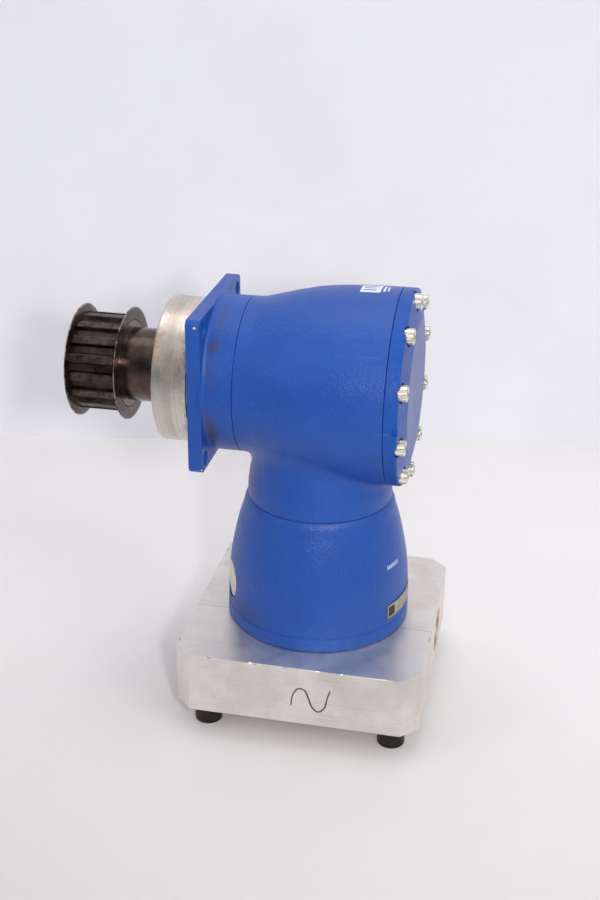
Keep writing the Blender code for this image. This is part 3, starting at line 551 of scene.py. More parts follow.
def dark_steel(name, base, worn, roughness, wear_at=None, edge=0.0006, rust_ring=None):
    """Oiled black steel, brown in places, with brighter metal where its outer radius has been rubbed."""
    look = Look(name, roughness=roughness, metallic=1.0)
    radius, turn, height = look.polar()
    blotch = look.noise(130.0, 4.0, 0.6)
    colour = look.mix(look.step(blotch, 0.35, 0.70), base, tuple(c * 1.7 + 0.008 for c in base))
    streak = look.noise(1.0, 2.0, 0.5, look.mapped((900, 900, 60)))
    if wear_at:
        rubbed = look.step(radius, wear_at - edge, wear_at - edge * 0.2)
        colour = look.tint(colour, worn, rubbed, look.step(look.noise(240.0, 3.0, 0.6), 0.38, 0.60), 0.8)
    colour = look.tint(colour, worn, look.step(streak, 0.58, 0.74), 0.25)
    rust = look.both(look.step(look.noise(210.0, 4.0, 0.65), 0.60, 0.72), 0.4)
    if rust_ring:
        patchy = look.step(look.noise(160.0, 3.0, 0.6), 0.34, 0.60)
        around_hub = look.both(look.near(radius, rust_ring, 0.0004, 0.0014), patchy, 0.7)
        rust = look.math("MAXIMUM", rust, around_hub)
    look.set("Base Color", look.mix(rust, colour, (0.20, 0.080, 0.040)))
    look.set("Roughness", look.step(blotch, 0.3, 0.7, (roughness * 0.75, roughness * 1.35)))
    look.set("Normal", look.bump(look.math("ADD", blotch, streak), 0.00005, 0.6))
    return look.material


def plain_metal(name, colour, roughness, metallic=1.0, fleck=0.35):
    """Plated or ground steel with cloudy tone, fine pits and uneven gloss."""
    look = Look(name, roughness=roughness, metallic=metallic)
    cloud = look.noise(300.0, 3.0, 0.6)
    pits = look.step(look.cells(1400.0), 0.10, 0.04)
    darker = tuple(c * 0.55 for c in colour)
    shade = look.tint(colour, darker, look.step(cloud, 0.45, 0.75), fleck)
    look.set("Base Color", look.tint(shade, darker, pits, 0.3))
    look.set("Roughness", look.step(cloud, 0.3, 0.7, (roughness * 0.8, roughness * 1.4)))
    look.set("Normal", look.bump(look.math("SUBTRACT", cloud, pits), 0.00003, 0.4))
    return look.material


def moulded(name, colour, roughness, grain=900.0):
    """Rubber or plastic with a fine moulded grain, dust and a little dirt."""
    look = Look(name, roughness=roughness)
    dirt = look.noise(220.0, 4.0, 0.6)
    dirty = tuple(c * 0.62 + 0.015 for c in colour)
    look.set("Base Color", look.tint(colour, dirty, look.step(dirt, 0.48, 0.75), 0.6))
    look.set("Roughness", look.step(dirt, 0.3, 0.7, (roughness * 0.85, min(1.0, roughness * 1.3))))
    look.set("Normal", look.bump(look.noise(grain, 2.0), 0.00004, 0.4))
    return look.material


def print_look(name, roughness, cloud, first, second):
    """Print or film in two close tones, where cloud is (scale, low, high)."""
    look = Look(name, roughness=roughness)
    scale, low, high = cloud
    look.set("Base Color", look.mix(look.step(look.noise(scale), low, high), first, second))
    return look.material


RUST = (0.40, 0.17, 0.055)
STAIN = (0.23, 0.125, 0.075)
PLATE = plate_metal()
SLEEVE = turned_steel(
    "sleeve_steel",
    (0.78, 0.74, 0.69),
    (0.58, 0.525, 0.47),
    0.26,
    (
        (math.radians(-145), 0.75, -0.088, 0.016, 0.42, (0.62, 0.40, 0.27)),
        (math.radians(-128), 0.30, -0.0985, 0.0060, 0.85, RUST),
        (math.radians(-117), 0.34, -0.086, 0.011, 0.55, STAIN),
        (math.radians(-100), 1.30, -0.0772, 0.0030, 0.75, STAIN),
        (math.radians(150), 0.60, -0.090, 0.010, 0.4, RUST),
    ),
)
SHAFT = turned_steel("shaft_steel", (0.72, 0.70, 0.67), (0.50, 0.47, 0.44), 0.25)
HUB = dark_steel("pulley_hub_steel", (0.075, 0.052, 0.043), (0.24, 0.20, 0.17), 0.20)
PULLEY = dark_steel("pulley_steel", (0.042, 0.028, 0.026), (0.115, 0.092, 0.080), 0.33, TOOTH_TIP_R)
PULLEY_FLANGE = dark_steel(
    "pulley_flange_steel", (0.060, 0.043, 0.036), (0.46, 0.42, 0.38), 0.32, 0.0368, 0.0010, 0.0292
)
BOLT = plain_metal("black_steel", (0.045, 0.038, 0.035), 0.36, 0.85, 0.5)
ZINC = plain_metal("zinc_steel", (0.84, 0.80, 0.68), 0.24)
DULL_ZINC = plain_metal("dull_zinc", (0.52, 0.51, 0.48), 0.38)
WASHER = plain_metal("washer_steel", (0.34, 0.32, 0.30), 0.36)
HUB_DARK = plain_metal("hub_steel", (0.12, 0.105, 0.095), 0.38, 1.0, 0.5)
GEAR = plain_metal("gear_steel", (0.44, 0.43, 0.42), 0.28)
BEARING = plain_metal("bearing_steel", (0.62, 0.61, 0.60), 0.16)
RUBBER = moulded("seal_rubber", (0.022, 0.022, 0.024), 0.55)
IVORY = moulded("plug_plastic", (0.76, 0.70, 0.58), 0.42, 500.0)

# ---- motor plate ----

ADAPTER_SPOTS = around(4, 0.054, math.radians(60))
BOLT_SPOTS = around(4, 0.0619 * math.sqrt(2), math.radians(45))


def make_plate():
    half = PLATE_HALF - SKIN
    plate = box_piece(
        "plate_body", (-half, -half, 0), (half, half, PLATE_TOP), INPUT, chamfer=0.011, edge=0.0006
    )
    side = INPUT @ Matrix.Translation((0, SIDE_HOLE_Y, SIDE_HOLE_Z)) @ Matrix.Rotation(math.pi / 2, 4, "Y")
    cut(
        plate,
        rods("c1", 0.065, -0.01, 0.004, place=INPUT, sides=128),
        rods("c2", 0.044, -0.01, 0.06, place=INPUT, sides=128),
        rods("c3", 0.0145, 0.025, 0.09, place=side, sides=64),
        rods("c4", 0.0064, -0.01, 0.028, BOLT_SPOTS, INPUT, 32),
        rods("c5", 0.007, -0.01, 0.0139, ADAPTER_SPOTS, INPUT, 32),
        rods("c6", 0.0044, 0.005, 0.06, ADAPTER_SPOTS, INPUT, 24),
    )
    cut(plate, cones("c7", 0.0145, 0.0155, half - 0.0009, half + 0.0001, ((0, 0),), side, 64))
    dings = random.Random(5)
    cutters = bmesh.new()
    for _ in range(9):
        x = dings.uniform(-0.066, 0.066)
        size = dings.uniform(0.0005, 0.0013)
        spot = Matrix.Translation((x, -half - size * 0.35, PLATE_TOP + size * 0.35))
        turn = Matrix.Rotation(dings.uniform(0, 3), 4, "X")
        shape = Matrix.Diagonal((dings.uniform(1.0, 2.6), 1, 1, 1))
        bmesh.ops.create_icosphere(cutters, subdivisions=2, radius=size, matrix=spot @ turn @ shape)
    for _ in range(5):
        y = dings.uniform(-0.066, 0.066)
        size = dings.uniform(0.0005, 0.0011)
        spot = Matrix.Translation((half + size * 0.35, y, PLATE_TOP + size * 0.35))
        bmesh.ops.create_icosphere(cutters, subdivisions=2, radius=size, matrix=spot)
    cut(plate, from_bmesh("c8", cutters, INPUT))
    dress(plate, PLATE, "housing", ["motor_plate"], 30)


def ribbon(name, points, width, place, look, lift=0.0):
    """A flat stroke of ink along points on a plane facing local -Y, each with its own width share."""
    shape = bmesh.new()
    sides = []
    for i, (x, z, share) in enumerate(points):
        before = Vector(points[max(i - 1, 0)][:2])
        after = Vector(points[min(i + 1, len(points) - 1)][:2])
        along = (after - before).normalized()
        out = Vector((-along.y, along.x)) * width * share / 2
        left = shape.verts.new((x + out.x, lift, z + out.y))
        right = shape.verts.new((x - out.x, lift, z - out.y))
        sides.append((left, right))
    for (a, b), (c, d) in zip(sides, sides[1:]):
        shape.faces.new((a, b, d, c))
    piece = from_bmesh(name, shape, place)
    step = piece.modifiers.new("thick", "SOLIDIFY")
    step.thickness = 0.00004
    apply_all(piece)
    dress(piece, look, "housing", weighted=False)


def smooth_path(corners, steps=14):
    """A Catmull-Rom curve through 2-D corners."""
    ends = [corners[0], *corners, corners[-1]]
    path = []
    for a, b, c, d in zip(ends, ends[1:], ends[2:], ends[3:]):
        for k in range(steps):
            t = k / steps
            spot = []
            for p, q, r, s in zip(a, b, c, d):
                square = 2 * p - 5 * q + 4 * r - s
                cube = 3 * q - p - 3 * r + s
                spot.append(0.5 * (2 * q + (r - p) * t + square * t * t + cube * t**3))
            path.append(spot)
    path.append(list(corners[-1]))
    return path


def make_marker():
    """A workshop squiggle in marker pen on the plate's front."""
    look = print_look("marker_ink", 0.5, (900.0, 0.35, 0.62), (0.10, 0.085, 0.09), (0.035, 0.03, 0.04))
    path = smooth_path(
        [(-0.0015, 0.0135), (-0.0005, 0.0215), (0.0030, 0.0270), (0.0075, 0.0262), (0.0100, 0.0205)]
        + [(0.0125, 0.0140), (0.0165, 0.0112), (0.0205, 0.0150), (0.0222, 0.0225), (0.0240, 0.0285)]
    )
    points = []
    for i, (x, z) in enumerate(path):
        share = 0.75 + 0.35 * math.sin(math.pi * i / len(path))
        points.append((x, z, share))
    ribbon("marker_stroke", points, 0.0011, INPUT, look, -PLATE_HALF + SKIN - 0.00003)


def socket_screw(name, head_r, head_low, head_high, shank_r, tip, flats, depth, sides=48):
    """A socket-head screw about local Z with its socket on top and its head knurled, as one mesh."""
    here = Matrix.Identity(4)
    shape = bmesh.new()
    profile = [
        (0, head_high), (head_r - 0.0007, head_high), (head_r, head_high - 0.0006),
        (head_r, head_low), (shank_r, head_low), (shank_r, tip + 0.0005),
        (shank_r - 0.0005, tip), (0, tip),
    ]
    add_lathe(shape, rounded(profile, 0.00025), sides)
    screw = from_bmesh(name, shape, here)
    across = flats / 2
    cut(
        screw,
        rods("s1", flats / math.sqrt(3), head_high - depth, head_high + 0.01, place=here, sides=6),
        cones("s2", across, across + 0.0006, head_high - 0.0006, head_high + 0.00001, place=here, sides=32),
    )
    grooves = bmesh.new()
    for x, y in around(34, head_r + 0.00035):
        turn = Matrix.Rotation(math.atan2(y, x) + math.pi / 4, 4, "Z")
        size = Matrix.Diagonal((0.0008, 0.0008, head_high - head_low - 0.0016, 1))
        spot = Matrix.Translation((x, y, (head_low + head_high) / 2 - 0.0002))
        bmesh.ops.create_cube(grooves, size=1, matrix=spot @ turn @ size)
    cut(screw, from_bmesh("s3", grooves, here))
    return screw


def many(first, names, places, spins, look, body, nodes):
    """Copies of one mesh at several places, each turned about its own axis, each in one node's stead."""
    pieces = [first]
    for _ in names[1:]:
        piece = bpy.data.objects.new(first.name, first.data.copy())
        bpy.context.scene.collection.objects.link(piece)
        pieces.append(piece)
    for piece, name, place, spin, node in zip(pieces, names, places, spins, nodes):
        piece.name = name
        piece.data.transform(Matrix.Rotation(spin, 4, "Z"))
        piece.matrix_world = place
        dress(piece, look, body, [node], 32)


def make_bolts():
    """The plate's screws stand head down, so their local Z is turned over."""
    flip = Matrix.Rotation(math.pi, 4, "X")
    corner_screw = (0.009, -0.012, 0.0, 0.006, -0.0395, 0.010, 0.006)
    sunk_screw = (0.0065, -0.008, 0.0, 0.004, -0.051, 0.006, 0.004)
    for node, piece, screw, look, slot in (
        ("motor_bolt", "plate_bolt", corner_screw, BOLT, "black_steel"),
        ("adapter_screw", "sunk_screw", sunk_screw, DULL_ZINC, "dull_zinc"),
    ):
        nodes = [f"{node}_{i}" for i in range(1, 5)]
        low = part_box(nodes[0])[0].z
        places = []
        for name in nodes:
            spot = middle(name)
            places.append(Matrix.Translation((spot.x, spot.y, low)) @ flip)
        names = [f"{piece}_{i}" for i in range(1, 5)]
        spins = [0.4 * i for i in range(1, 5)]
        many(socket_screw(piece, *screw), names, places, spins, look, "housing", nodes)


# ---- bell ----

BELL = [
    (0.0475, 0.1291), (0.0487, 0.1275), (0.0498, 0.1250), (0.0505, 0.1213),
    (0.0519, 0.1172), (0.0532, 0.1130), (0.0545, 0.1080), (0.0555, 0.1036),
    (0.0566, 0.0988), (0.0575, 0.0940), (0.0583, 0.0900), (0.0590, 0.0860),
    (0.0599, 0.0780), (0.0605, 0.0700), (0.0608, 0.0630), (0.0609, 0.0570),
]
PLUG_TURN = math.radians(-156.5)
PLUG_Z = 0.069


def make_bell():
    outside = BELL + [
        (0.06105, 0.0523),
        (0.0606, 0.0520),
        (0.0606, 0.0514),
        (0.0612, 0.0511),
        (0.0613, 0.0426),
    ]
    inside = [
        (0.0470, 0.0423), (0.0470, 0.061), (0.053, 0.068), (0.047, 0.098), (0.032, 0.098),
        (0.032, 0.091), (0.0263, 0.091), (0.0263, 0.099), (0.023, 0.099), (0.023, 0.1037),
        (0.0313, 0.1037), (0.0313, 0.1291),
    ]
    bell = lathe("bell_shell", outside + inside, INPUT, ROUND, 0.0004)
    sideways = INPUT @ Matrix.Translation((0, 0, PLUG_Z)) @ Matrix.Rotation(PLUG_TURN, 4, "Z")
    sideways = sideways @ Matrix.Rotation(math.pi / 2, 4, "Y")
    cut(
        bell,
        rods("b1", 0.0130, 0.040, 0.075, place=sideways, sides=64),
        rods("b2", 0.0043, 0.035, 0.0585, ADAPTER_SPOTS, INPUT, 24),
    )
    dress(bell, PAINT_BELL, "housing", ["input_housing"], 32)
    face = 0.0596
    plug = lathe(
        "plug_disc",
        [
            (0, face - 0.0010), (0.0085, face - 0.0009), (0.0098, face - 0.0004),
            (0.0108, face), (0.0120, face), (0.0124, face - 0.0004),
            (0.0124, face - 0.0072), (0, face - 0.0072),
        ],
        sideways,
        64,
        0.0005,
    )
    dress(plug, IVORY, "housing", ["access_plug"], 40)


def curved_patch(name, place, radius_at, turns, heights, look, cells, thick, lift):
    """A thin sheet that follows a turned surface between two turns and two heights."""
    cols, rows = cells
    shape = bmesh.new()
    grid = []
    for j in range(rows + 1):
        height = heights[0] + (heights[1] - heights[0]) * j / rows
        radius = radius_at(height) + lift
        line = []
        for i in range(cols + 1):
            t = turns[0] + (turns[1] - turns[0]) * i / cols
            line.append(shape.verts.new((radius * math.cos(t), radius * math.sin(t), height)))
        grid.append(line)
    for j in range(rows):
        for i in range(cols):
            shape.faces.new((grid[j][i], grid[j][i + 1], grid[j + 1][i + 1], grid[j + 1][i]))
    piece = from_bmesh(name, shape, place)
    normal = piece.data.polygons[0].normal
    centre = piece.data.polygons[0].center
    facing = normal.x * centre.x + normal.y * centre.y > 0
    step = piece.modifiers.new("thick", "SOLIDIFY")
    step.thickness = thick
    step.offset = 1 if facing else -1
    apply_all(piece)
    return dress(piece, look, "housing", weighted=False)


def along(profile):
    """Radius at a height, read off a profile of (radius, height) points."""
    points = sorted((h, r) for r, h in profile)

    def radius_at(height):
        for (h0, r0), (h1, r1) in zip(points, points[1:]):
            if h0 <= height <= h1:
                return r0 + (r1 - r0) * (height - h0) / (h1 - h0)
        return points[0][1] if height < points[0][0] else points[-1][1]

    return radius_at


def nameplate_look(turns, heights):
    """Brass-toned foil with a border, a dark printed block and blank data fields."""
    look = Look("nameplate_metal", roughness=0.35, metallic=0.85)
    radius, turn, height = look.polar()
    span = look.math("DIVIDE", look.math("SUBTRACT", turn, turns[0]), turns[1] - turns[0])
    rise = look.math("DIVIDE", look.math("SUBTRACT", height, heights[0]), heights[1] - heights[0])
    brushed = look.noise(1.0, 2.0, 0.5, look.mapped((900, 900, 40)))
    metal = look.mix(look.step(brushed, 0.4, 0.7), (0.50, 0.475, 0.33), (0.36, 0.345, 0.25))
    border = look.math("MINIMUM", look.near(span, 0.5, 0.475, 0.004), look.near(rise, 0.5, 0.44, 0.02))
    dark_block = look.both(look.near(span, 0.13, 0.085, 0.004), look.near(rise, 0.5, 0.33, 0.03))
    fields = look.both(look.near(span, 0.62, 0.30, 0.004), look.near(rise, 0.5, 0.36, 0.03))
    lines = look.near(look.math("FRACT", look.both(rise, 4.0)), 0.5, 0.10, 0.08)
    dashes = look.step(look.noise(1.0, 0.0, 0.5, look.mapped((1900, 1900, 420))), 0.44, 0.5)
    colour = look.mix(border, (0.20, 0.19, 0.14), metal)
    printed = look.math("MAXIMUM", dark_block, look.both(fields, lines, dashes))
    look.set("Base Color", look.mix(printed, colour, (0.050, 0.040, 0.035)))
    look.set("Normal", look.bump(brushed, 0.00002, 0.3))
    return look.material


def make_nameplate():
    """The metal plate round the bell's foot."""
    turns = (math.radians(-31.5), math.radians(5.0))
    heights = (0.0555, 0.0660)
    foil_r, foil_thickness = 0.06088, 0.00032
    look = nameplate_look(turns, heights)
    piece = curved_patch(
        "nameplate_foil",
        INPUT,
        lambda height: foil_r,
        turns,
        heights,
        look,
        (40, 4),
        foil_thickness,
        0.0,
    )
    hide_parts("nameplate")


def make_bell_marks():
    """A line of small pale print on the bell, as plain dashes."""
    look = print_look("pale_print", 0.5, (1200.0, 0.4, 0.6), (0.62, 0.66, 0.75), (0.45, 0.50, 0.62))
    turn = math.radians(-29.0)
    gap = math.radians(0.75)
    heights = (0.0908, 0.0934)
    wide = random.Random(3)
    for i in range(7):
        step = math.radians(wide.uniform(0.8, 1.7))
        name = f"bell_print_{i + 1}"
        turns = (turn, turn + step)
        curved_patch(name, INPUT, along(BELL), turns, heights, look, (6, 2), 0.00003, 0.00001)
        turn += step + gap


# ---- gear housing ----

BARREL = [
    (0.0626, 0.0481), (0.0624, 0.0350), (0.0621, 0.0240), (0.0613, 0.0133),
    (0.0610, 0.0095), (0.0602, 0.0017), (0.0590, -0.0059), (0.0581, -0.0097),
    (0.0572, -0.0135), (0.0565, -0.0173), (0.0554, -0.0211), (0.0543, -0.0249),
    (0.0533, -0.0288), (0.0522, -0.0326), (0.0512, -0.0365), (0.0504, -0.0400),
    (0.0501, -0.04685),
]
NECK = [
    (0.0475, 0.1295), (0.0476, 0.1330), (0.0474, 0.1389), (0.0466, 0.1450),
    (0.0452, 0.1526), (0.0446, 0.1600), (0.0444, 0.1700),
]
AXIS_RISE = AXIS_Z - PLATE_LOW
COVER_SPOTS = around(10, 0.0567, math.pi)
COVER_SEAT = 0.0556


def add_skirt(shape, to_local):
    """The cast fillet where the neck runs into the barrel, as a loft between the two surfaces."""
    barrel_at = along(BARREL)
    neck_at = along(NECK)
    lines = []
    for k in range(ROUND * 2):
        t = math.pi * k / ROUND
        x, y = math.cos(t), math.sin(t)
        low, high = 0.130, 0.190
        for _ in range(40):
            height = (low + high) / 2
            radius = neck_at(height)
            inside = (radius * y) ** 2 + (height - AXIS_RISE) ** 2 < barrel_at(radius * x) ** 2
            low, high = (low, height) if inside else (height, high)
        meet = Vector((neck_at(high) * x, neck_at(high) * y, high))
        reach = 0.0075
        down = max(high - reach, 0.1297)
        start = Vector((neck_at(down) * x, neck_at(down) * y, down))
        out = neck_at(high) + reach * 0.8
        under = barrel_at(out * x) ** 2 - (out * y) ** 2
        end = Vector((out * x, out * y, AXIS_RISE - math.sqrt(max(under, 1e-8))))
        line = []
        for j in range(9):
            s = j / 8
            spot = start * (1 - s) ** 2 + meet * 2 * s * (1 - s) + end * s**2
            line.append(shape.verts.new(to_local @ spot))
        lines.append(line)
    for a, b in zip(lines, lines[1:] + lines[:1]):
        for i in range(len(a) - 1):
            shape.faces.new((a[i], b[i], b[i + 1], a[i + 1]))


def make_gear_housing():
    shape = bmesh.new()
    inner = [
        (0.0501, -0.04685), (0.0448, -0.04685), (0.0448, -0.014), (0.051, -0.008),
        (0.055, 0.008), (0.055, 0.028), (0.053, 0.032), (0.053, 0.0481),
    ]
    add_lathe(shape, rounded(BARREL[:-1] + inner, 0.0004, True), ROUND)
    housing = from_bmesh("gear_shell", shape, OUTPUT)
    neck_solid = NECK + [(0.0313, 0.1700), (0.0313, 0.1295)]
    neck = lathe("neck_part", neck_solid, INPUT, ROUND, 0.0004)
    bore = rods("g1", 0.0525, -0.008, 0.03, place=OUTPUT, sides=96)
    cut(neck, bore)
    boolean(housing, "UNION", neck)
    cut(housing, rods("g2", TAP_R, 0.037, 0.060, COVER_SPOTS, OUTPUT, 20))
    dress(housing, PAINT_BARREL, "housing", ["gear_housing"], 32)
    skirt = bmesh.new()
    add_skirt(skirt, OUTPUT.inverted() @ INPUT)
    fillet = from_bmesh("neck_fillet", skirt, OUTPUT)
    dress(fillet, PAINT_BARREL, "housing", weighted=False)


# ---- rear cover ----


def make_cover():
    outline = [
        (0, 0.0605), (0.0432, 0.0605), (0.0440, 0.06035), (0.0612, 0.05705),
        (0.0620, 0.0569), (0.0626, 0.0562), (0.0626, 0.0484), (0.0527, 0.0484),
        (0.0527, 0.0445), (0.0500, 0.0445), (0.0500, 0.040), (0.0385, 0.040),
        (0.0385, 0.0315), (0.0313, 0.0315), (0.0313, 0.0474), (0.022, 0.0474),
        (0.022, 0.0545), (0, 0.0545),
    ]
    cover = lathe("cover_cap", outline, OUTPUT, ROUND, 0.0005)
    cut(
        cover,
        rods("r1", 0.0063, COVER_SEAT - 0.0002, 0.070, COVER_SPOTS, OUTPUT, 48),
        rods("r2", TAP_R, 0.040, 0.070, COVER_SPOTS, OUTPUT, 20),
    )
    notch_turn = math.radians(-86)
    notch = OUTPUT @ Matrix.Rotation(notch_turn, 4, "Z") @ Matrix.Translation((0.0632, 0, 0.0556))
    cut(cover, box_piece("r3", (-0.0026, -0.0024, -0.0016), (0.002, 0.0024, 0.0018), notch, edge=0.0002))
    dress(cover, PAINT_COVER, "housing", ["rear_cover"], 34)
    screw = socket_screw("cs", 0.0050, 0.0, 0.006, 0.0026, -0.0171, 0.005, 0.003)
    turns = random.Random(11)
    places = [OUTPUT @ Matrix.Translation((x, y, COVER_SEAT)) for x, y in COVER_SPOTS]
    spins = [turns.uniform(0, 6.2) for _ in COVER_SPOTS]
    nodes = [f"cover_screw_{i:02d}" for i in range(1, 11)]
    names = [f"cap_screw_{i:02d}" for i in range(1, 11)]
    many(screw, names, places, spins, ZINC, "housing", nodes)


def make_label_pieces():
    """A plain film label on the barrel, with three blank lines of ink, and two bars of film beside it."""
    film = print_look("label_film", 0.38, (500.0, 0.35, 0.7), (0.80, 0.82, 0.85), (0.66, 0.69, 0.74))
    ink = print_look("label_ink", 0.45, (700.0, 0.3, 0.7), (0.035, 0.075, 0.33), (0.05, 0.10, 0.38))
    on_barrel, over_film = 0.00002, 0.00007

    def patch(name, turns, heights, look, lift, cols=14):
        cells = (cols, 4)
        curved_patch(name, OUTPUT, along(BARREL), turns, heights, look, cells, 0.00004, lift)

    low, high = math.radians(-190.5), math.radians(-175.5)
    patch("label_main", (low, high), (0.0232, 0.0358), film, on_barrel)
    patch("label_bar_1", (low + 0.03, high - 0.03), (0.0372, 0.0386), film, on_barrel)
    patch("label_bar_2", (low + 0.07, high - 0.05), (0.0398, 0.0408), film, on_barrel)
    for i, end in enumerate((0.0340, 0.0318, 0.0330), 1):
        centre = low + (high - low) * i / 4
        patch(f"label_line_{i}", (centre - 0.011, centre + 0.011), (0.0250, end), ink, over_film, 4)


# ---- output side ----


def make_output_housing():
    low = (-FLANGE_HALF, -FLANGE_HALF, FLANGE_FRONT)
    high = (FLANGE_HALF, FLANGE_HALF, FLANGE_BACK)
    flange = box_piece("flange_body", low, high, OUTPUT, chamfer=0.0025, edge=0.0005)
    seam = -0.04715
    bore_r, hole_r = 0.0440, 0.0045
    barrel = [
        (bore_r, seam), (0.0501, seam), (0.0501, FLANGE_BACK + 0.0030),
        (0.0503, FLANGE_BACK + 0.0016), (0.0509, FLANGE_BACK + 0.0005),
        (0.0518, FLANGE_BACK - 0.0002), (0.0518, FLANGE_BACK - 0.0012),
        (bore_r, FLANGE_BACK - 0.0012),
    ]
    shape = bmesh.new()
    add_lathe(shape, rounded(barrel, 0.0003, True), ROUND)
    body = from_bmesh("f0", shape, OUTPUT)
    boolean(flange, "UNION", body)
    corners = around(4, 0.0424 * math.sqrt(2), math.radians(45))
    cut(
        flange,
        rods("f1", bore_r, -0.09, -0.03, place=OUTPUT, sides=ROUND),
        rods("f2", hole_r, -0.09, -0.05, corners, OUTPUT, 40),
        cones("f3", hole_r, hole_r + 0.0006, FLANGE_BACK - 0.0005, FLANGE_BACK + 0.0001, corners),
    )
    dress(flange, PAINT_OUTPUT, "housing", ["output_housing"], 32)


def make_sleeve():
    sleeve = lathe(
        "sleeve_ring",
        [
            (0.0437, -0.0485), (0.0437, -0.0755), (0.0458, -0.0755), (0.0458, -0.0768),
            (0.0470, -0.0772), (0.0470, -0.0984), (0.0461, -0.0994), (0.0380, -0.0994),
            (0.0363, -0.0988), (0.0363, -0.0920), (0.0330, -0.0920), (0.0330, -0.0903),
            (0.0403, -0.0903), (0.0403, -0.0485),
        ],
        OUTPUT,
        ROUND,
        0.0003,
    )
    dress(sleeve, SLEEVE, "housing", ["pilot_sleeve"], 32)
    seal = lathe(
        "seal_ring",
        [
            (0.0228, -0.0988), (0.0236, -0.0978), (0.0262, -0.0970), (0.0325, -0.0970),
            (0.0340, -0.0984), (0.0360, -0.0988), (0.0360, -0.0923), (0.0228, -0.0923),
        ],
        OUTPUT,
        96,
        0.0003,
    )
    dress(seal, RUBBER, "housing", ["output_seal"], 40)


def groove_outline(teeth, tip_r, root_r, tip_width, root_width):
    """A belt pulley's outline with rounded tooth corners."""
    corners = []
    for i in range(teeth):
        turn = 2 * math.pi * i / teeth
        for radius, half in (
            (root_r, -root_width / 2 / root_r),
            (tip_r, -tip_width / 2 / tip_r),
            (tip_r, tip_width / 2 / tip_r),
            (root_r, root_width / 2 / root_r),
        ):
            corners.append((radius * math.cos(turn + half), radius * math.sin(turn + half)))
    return rounded(corners, 0.0007, True, 3)


def make_pulley():
    outline = groove_outline(16, TOOTH_TIP_R, 0.0289, 0.0054, 0.0071)
    low, high = -0.1580, -0.1285
    shape = bmesh.new()
    rings = []
    for height in (low, high):
        rings.append([shape.verts.new((x, y, height)) for x, y in outline])
    for i in range(len(outline)):
        j = (i + 1) % len(outline)
        shape.faces.new((rings[0][i], rings[0][j], rings[1][j], rings[1][i]))
    shape.faces.new(rings[0])
    shape.faces.new(rings[1])
    teeth = from_bmesh("pulley_teeth", shape, OUTPUT)
    cut(teeth, rods("p1", 0.0196, -0.2, -0.09, place=OUTPUT, sides=96))
    dress(teeth, PULLEY, "output", ["pulley"], 28)
    hub = lathe(
        "pulley_hub",
        [
            (0.0163, -0.1001), (0.0233, -0.1001), (0.0240, -0.1008), (0.0240, -0.1265),
            (0.0284, -0.1265), (0.0284, -0.1600), (0.0195, -0.1600), (0.0195, -0.1523),
            (0.0163, -0.1523),
        ],
        OUTPUT,
        ROUND,
        0.0004,
    )
    dress(hub, HUB, "output", sharp=32)
    bore = 0.0288
    outer = [
        (bore, -0.1581), (0.0322, -0.1582), (0.0345, -0.1586), (0.0362, -0.1590),
        (0.0369, -0.1593), (0.0369, -0.1599), (0.0360, -0.1600), (0.0330, -0.1600),
        (bore, -0.1600),
    ]
    flange = lathe("flange_ring_outer", outer, OUTPUT, ROUND, 0.0003)
    dress(flange, PULLEY_FLANGE, "output", ["pulley_flange_outer"], 32)
    both_flanges = -0.2865  # the two flanges' heights, which mirror each other, add up to this
    inner = [(radius, both_flanges - height) for radius, height in reversed(outer)]
    flange = lathe("flange_ring_inner", inner, OUTPUT, ROUND, 0.0003)
    dress(flange, PULLEY_FLANGE, "output", ["pulley_flange_inner"], 32)
    washer = lathe(
        "end_washer_disc",
        [(0.0055, -0.1525), (0.0190, -0.1525), (0.0190, -0.1553), (0.0188, -0.1555), (0.0055, -0.1555)],
        OUTPUT,
        72,
        0.0003,
    )
    dress(washer, WASHER, "output", ["end_washer"], 36)
    screw = socket_screw("end_bolt", 0.0085, 0.0, 0.0038, 0.0050, -0.0258, 0.006, 0.0025, 56)
    screw.matrix_world = OUTPUT @ Matrix.Translation((0, 0, -0.1558)) @ Matrix.Rotation(math.pi, 4, "X")
    dress(screw, BOLT, "output", ["end_screw"], 32)


def dress_kept_nodes():
    """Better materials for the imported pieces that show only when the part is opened."""
    looks = {
        "ring_gear": GEAR,
        "planet_gear_1": GEAR,
        "planet_gear_2": GEAR,
        "planet_gear_3": GEAR,
        "planet_pin_1": SHAFT,
        "planet_pin_2": SHAFT,
        "planet_pin_3": SHAFT,
        "sun_shaft": GEAR,
        "crown_wheel": GEAR,
        "bevel_pinion": GEAR,
        "carrier_plate": GEAR,
        "crown_nut": HUB_DARK,
        "output_shaft": SHAFT,
        "shaft_key": SHAFT,
        "cover_o_ring": RUBBER,
        "input_seal": RUBBER,
    }
    for name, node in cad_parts.items():
        look = BEARING if "bearing" in name else looks.get(name)
        if look:
            node.data.materials.clear()
            node.data.materials.append(look)


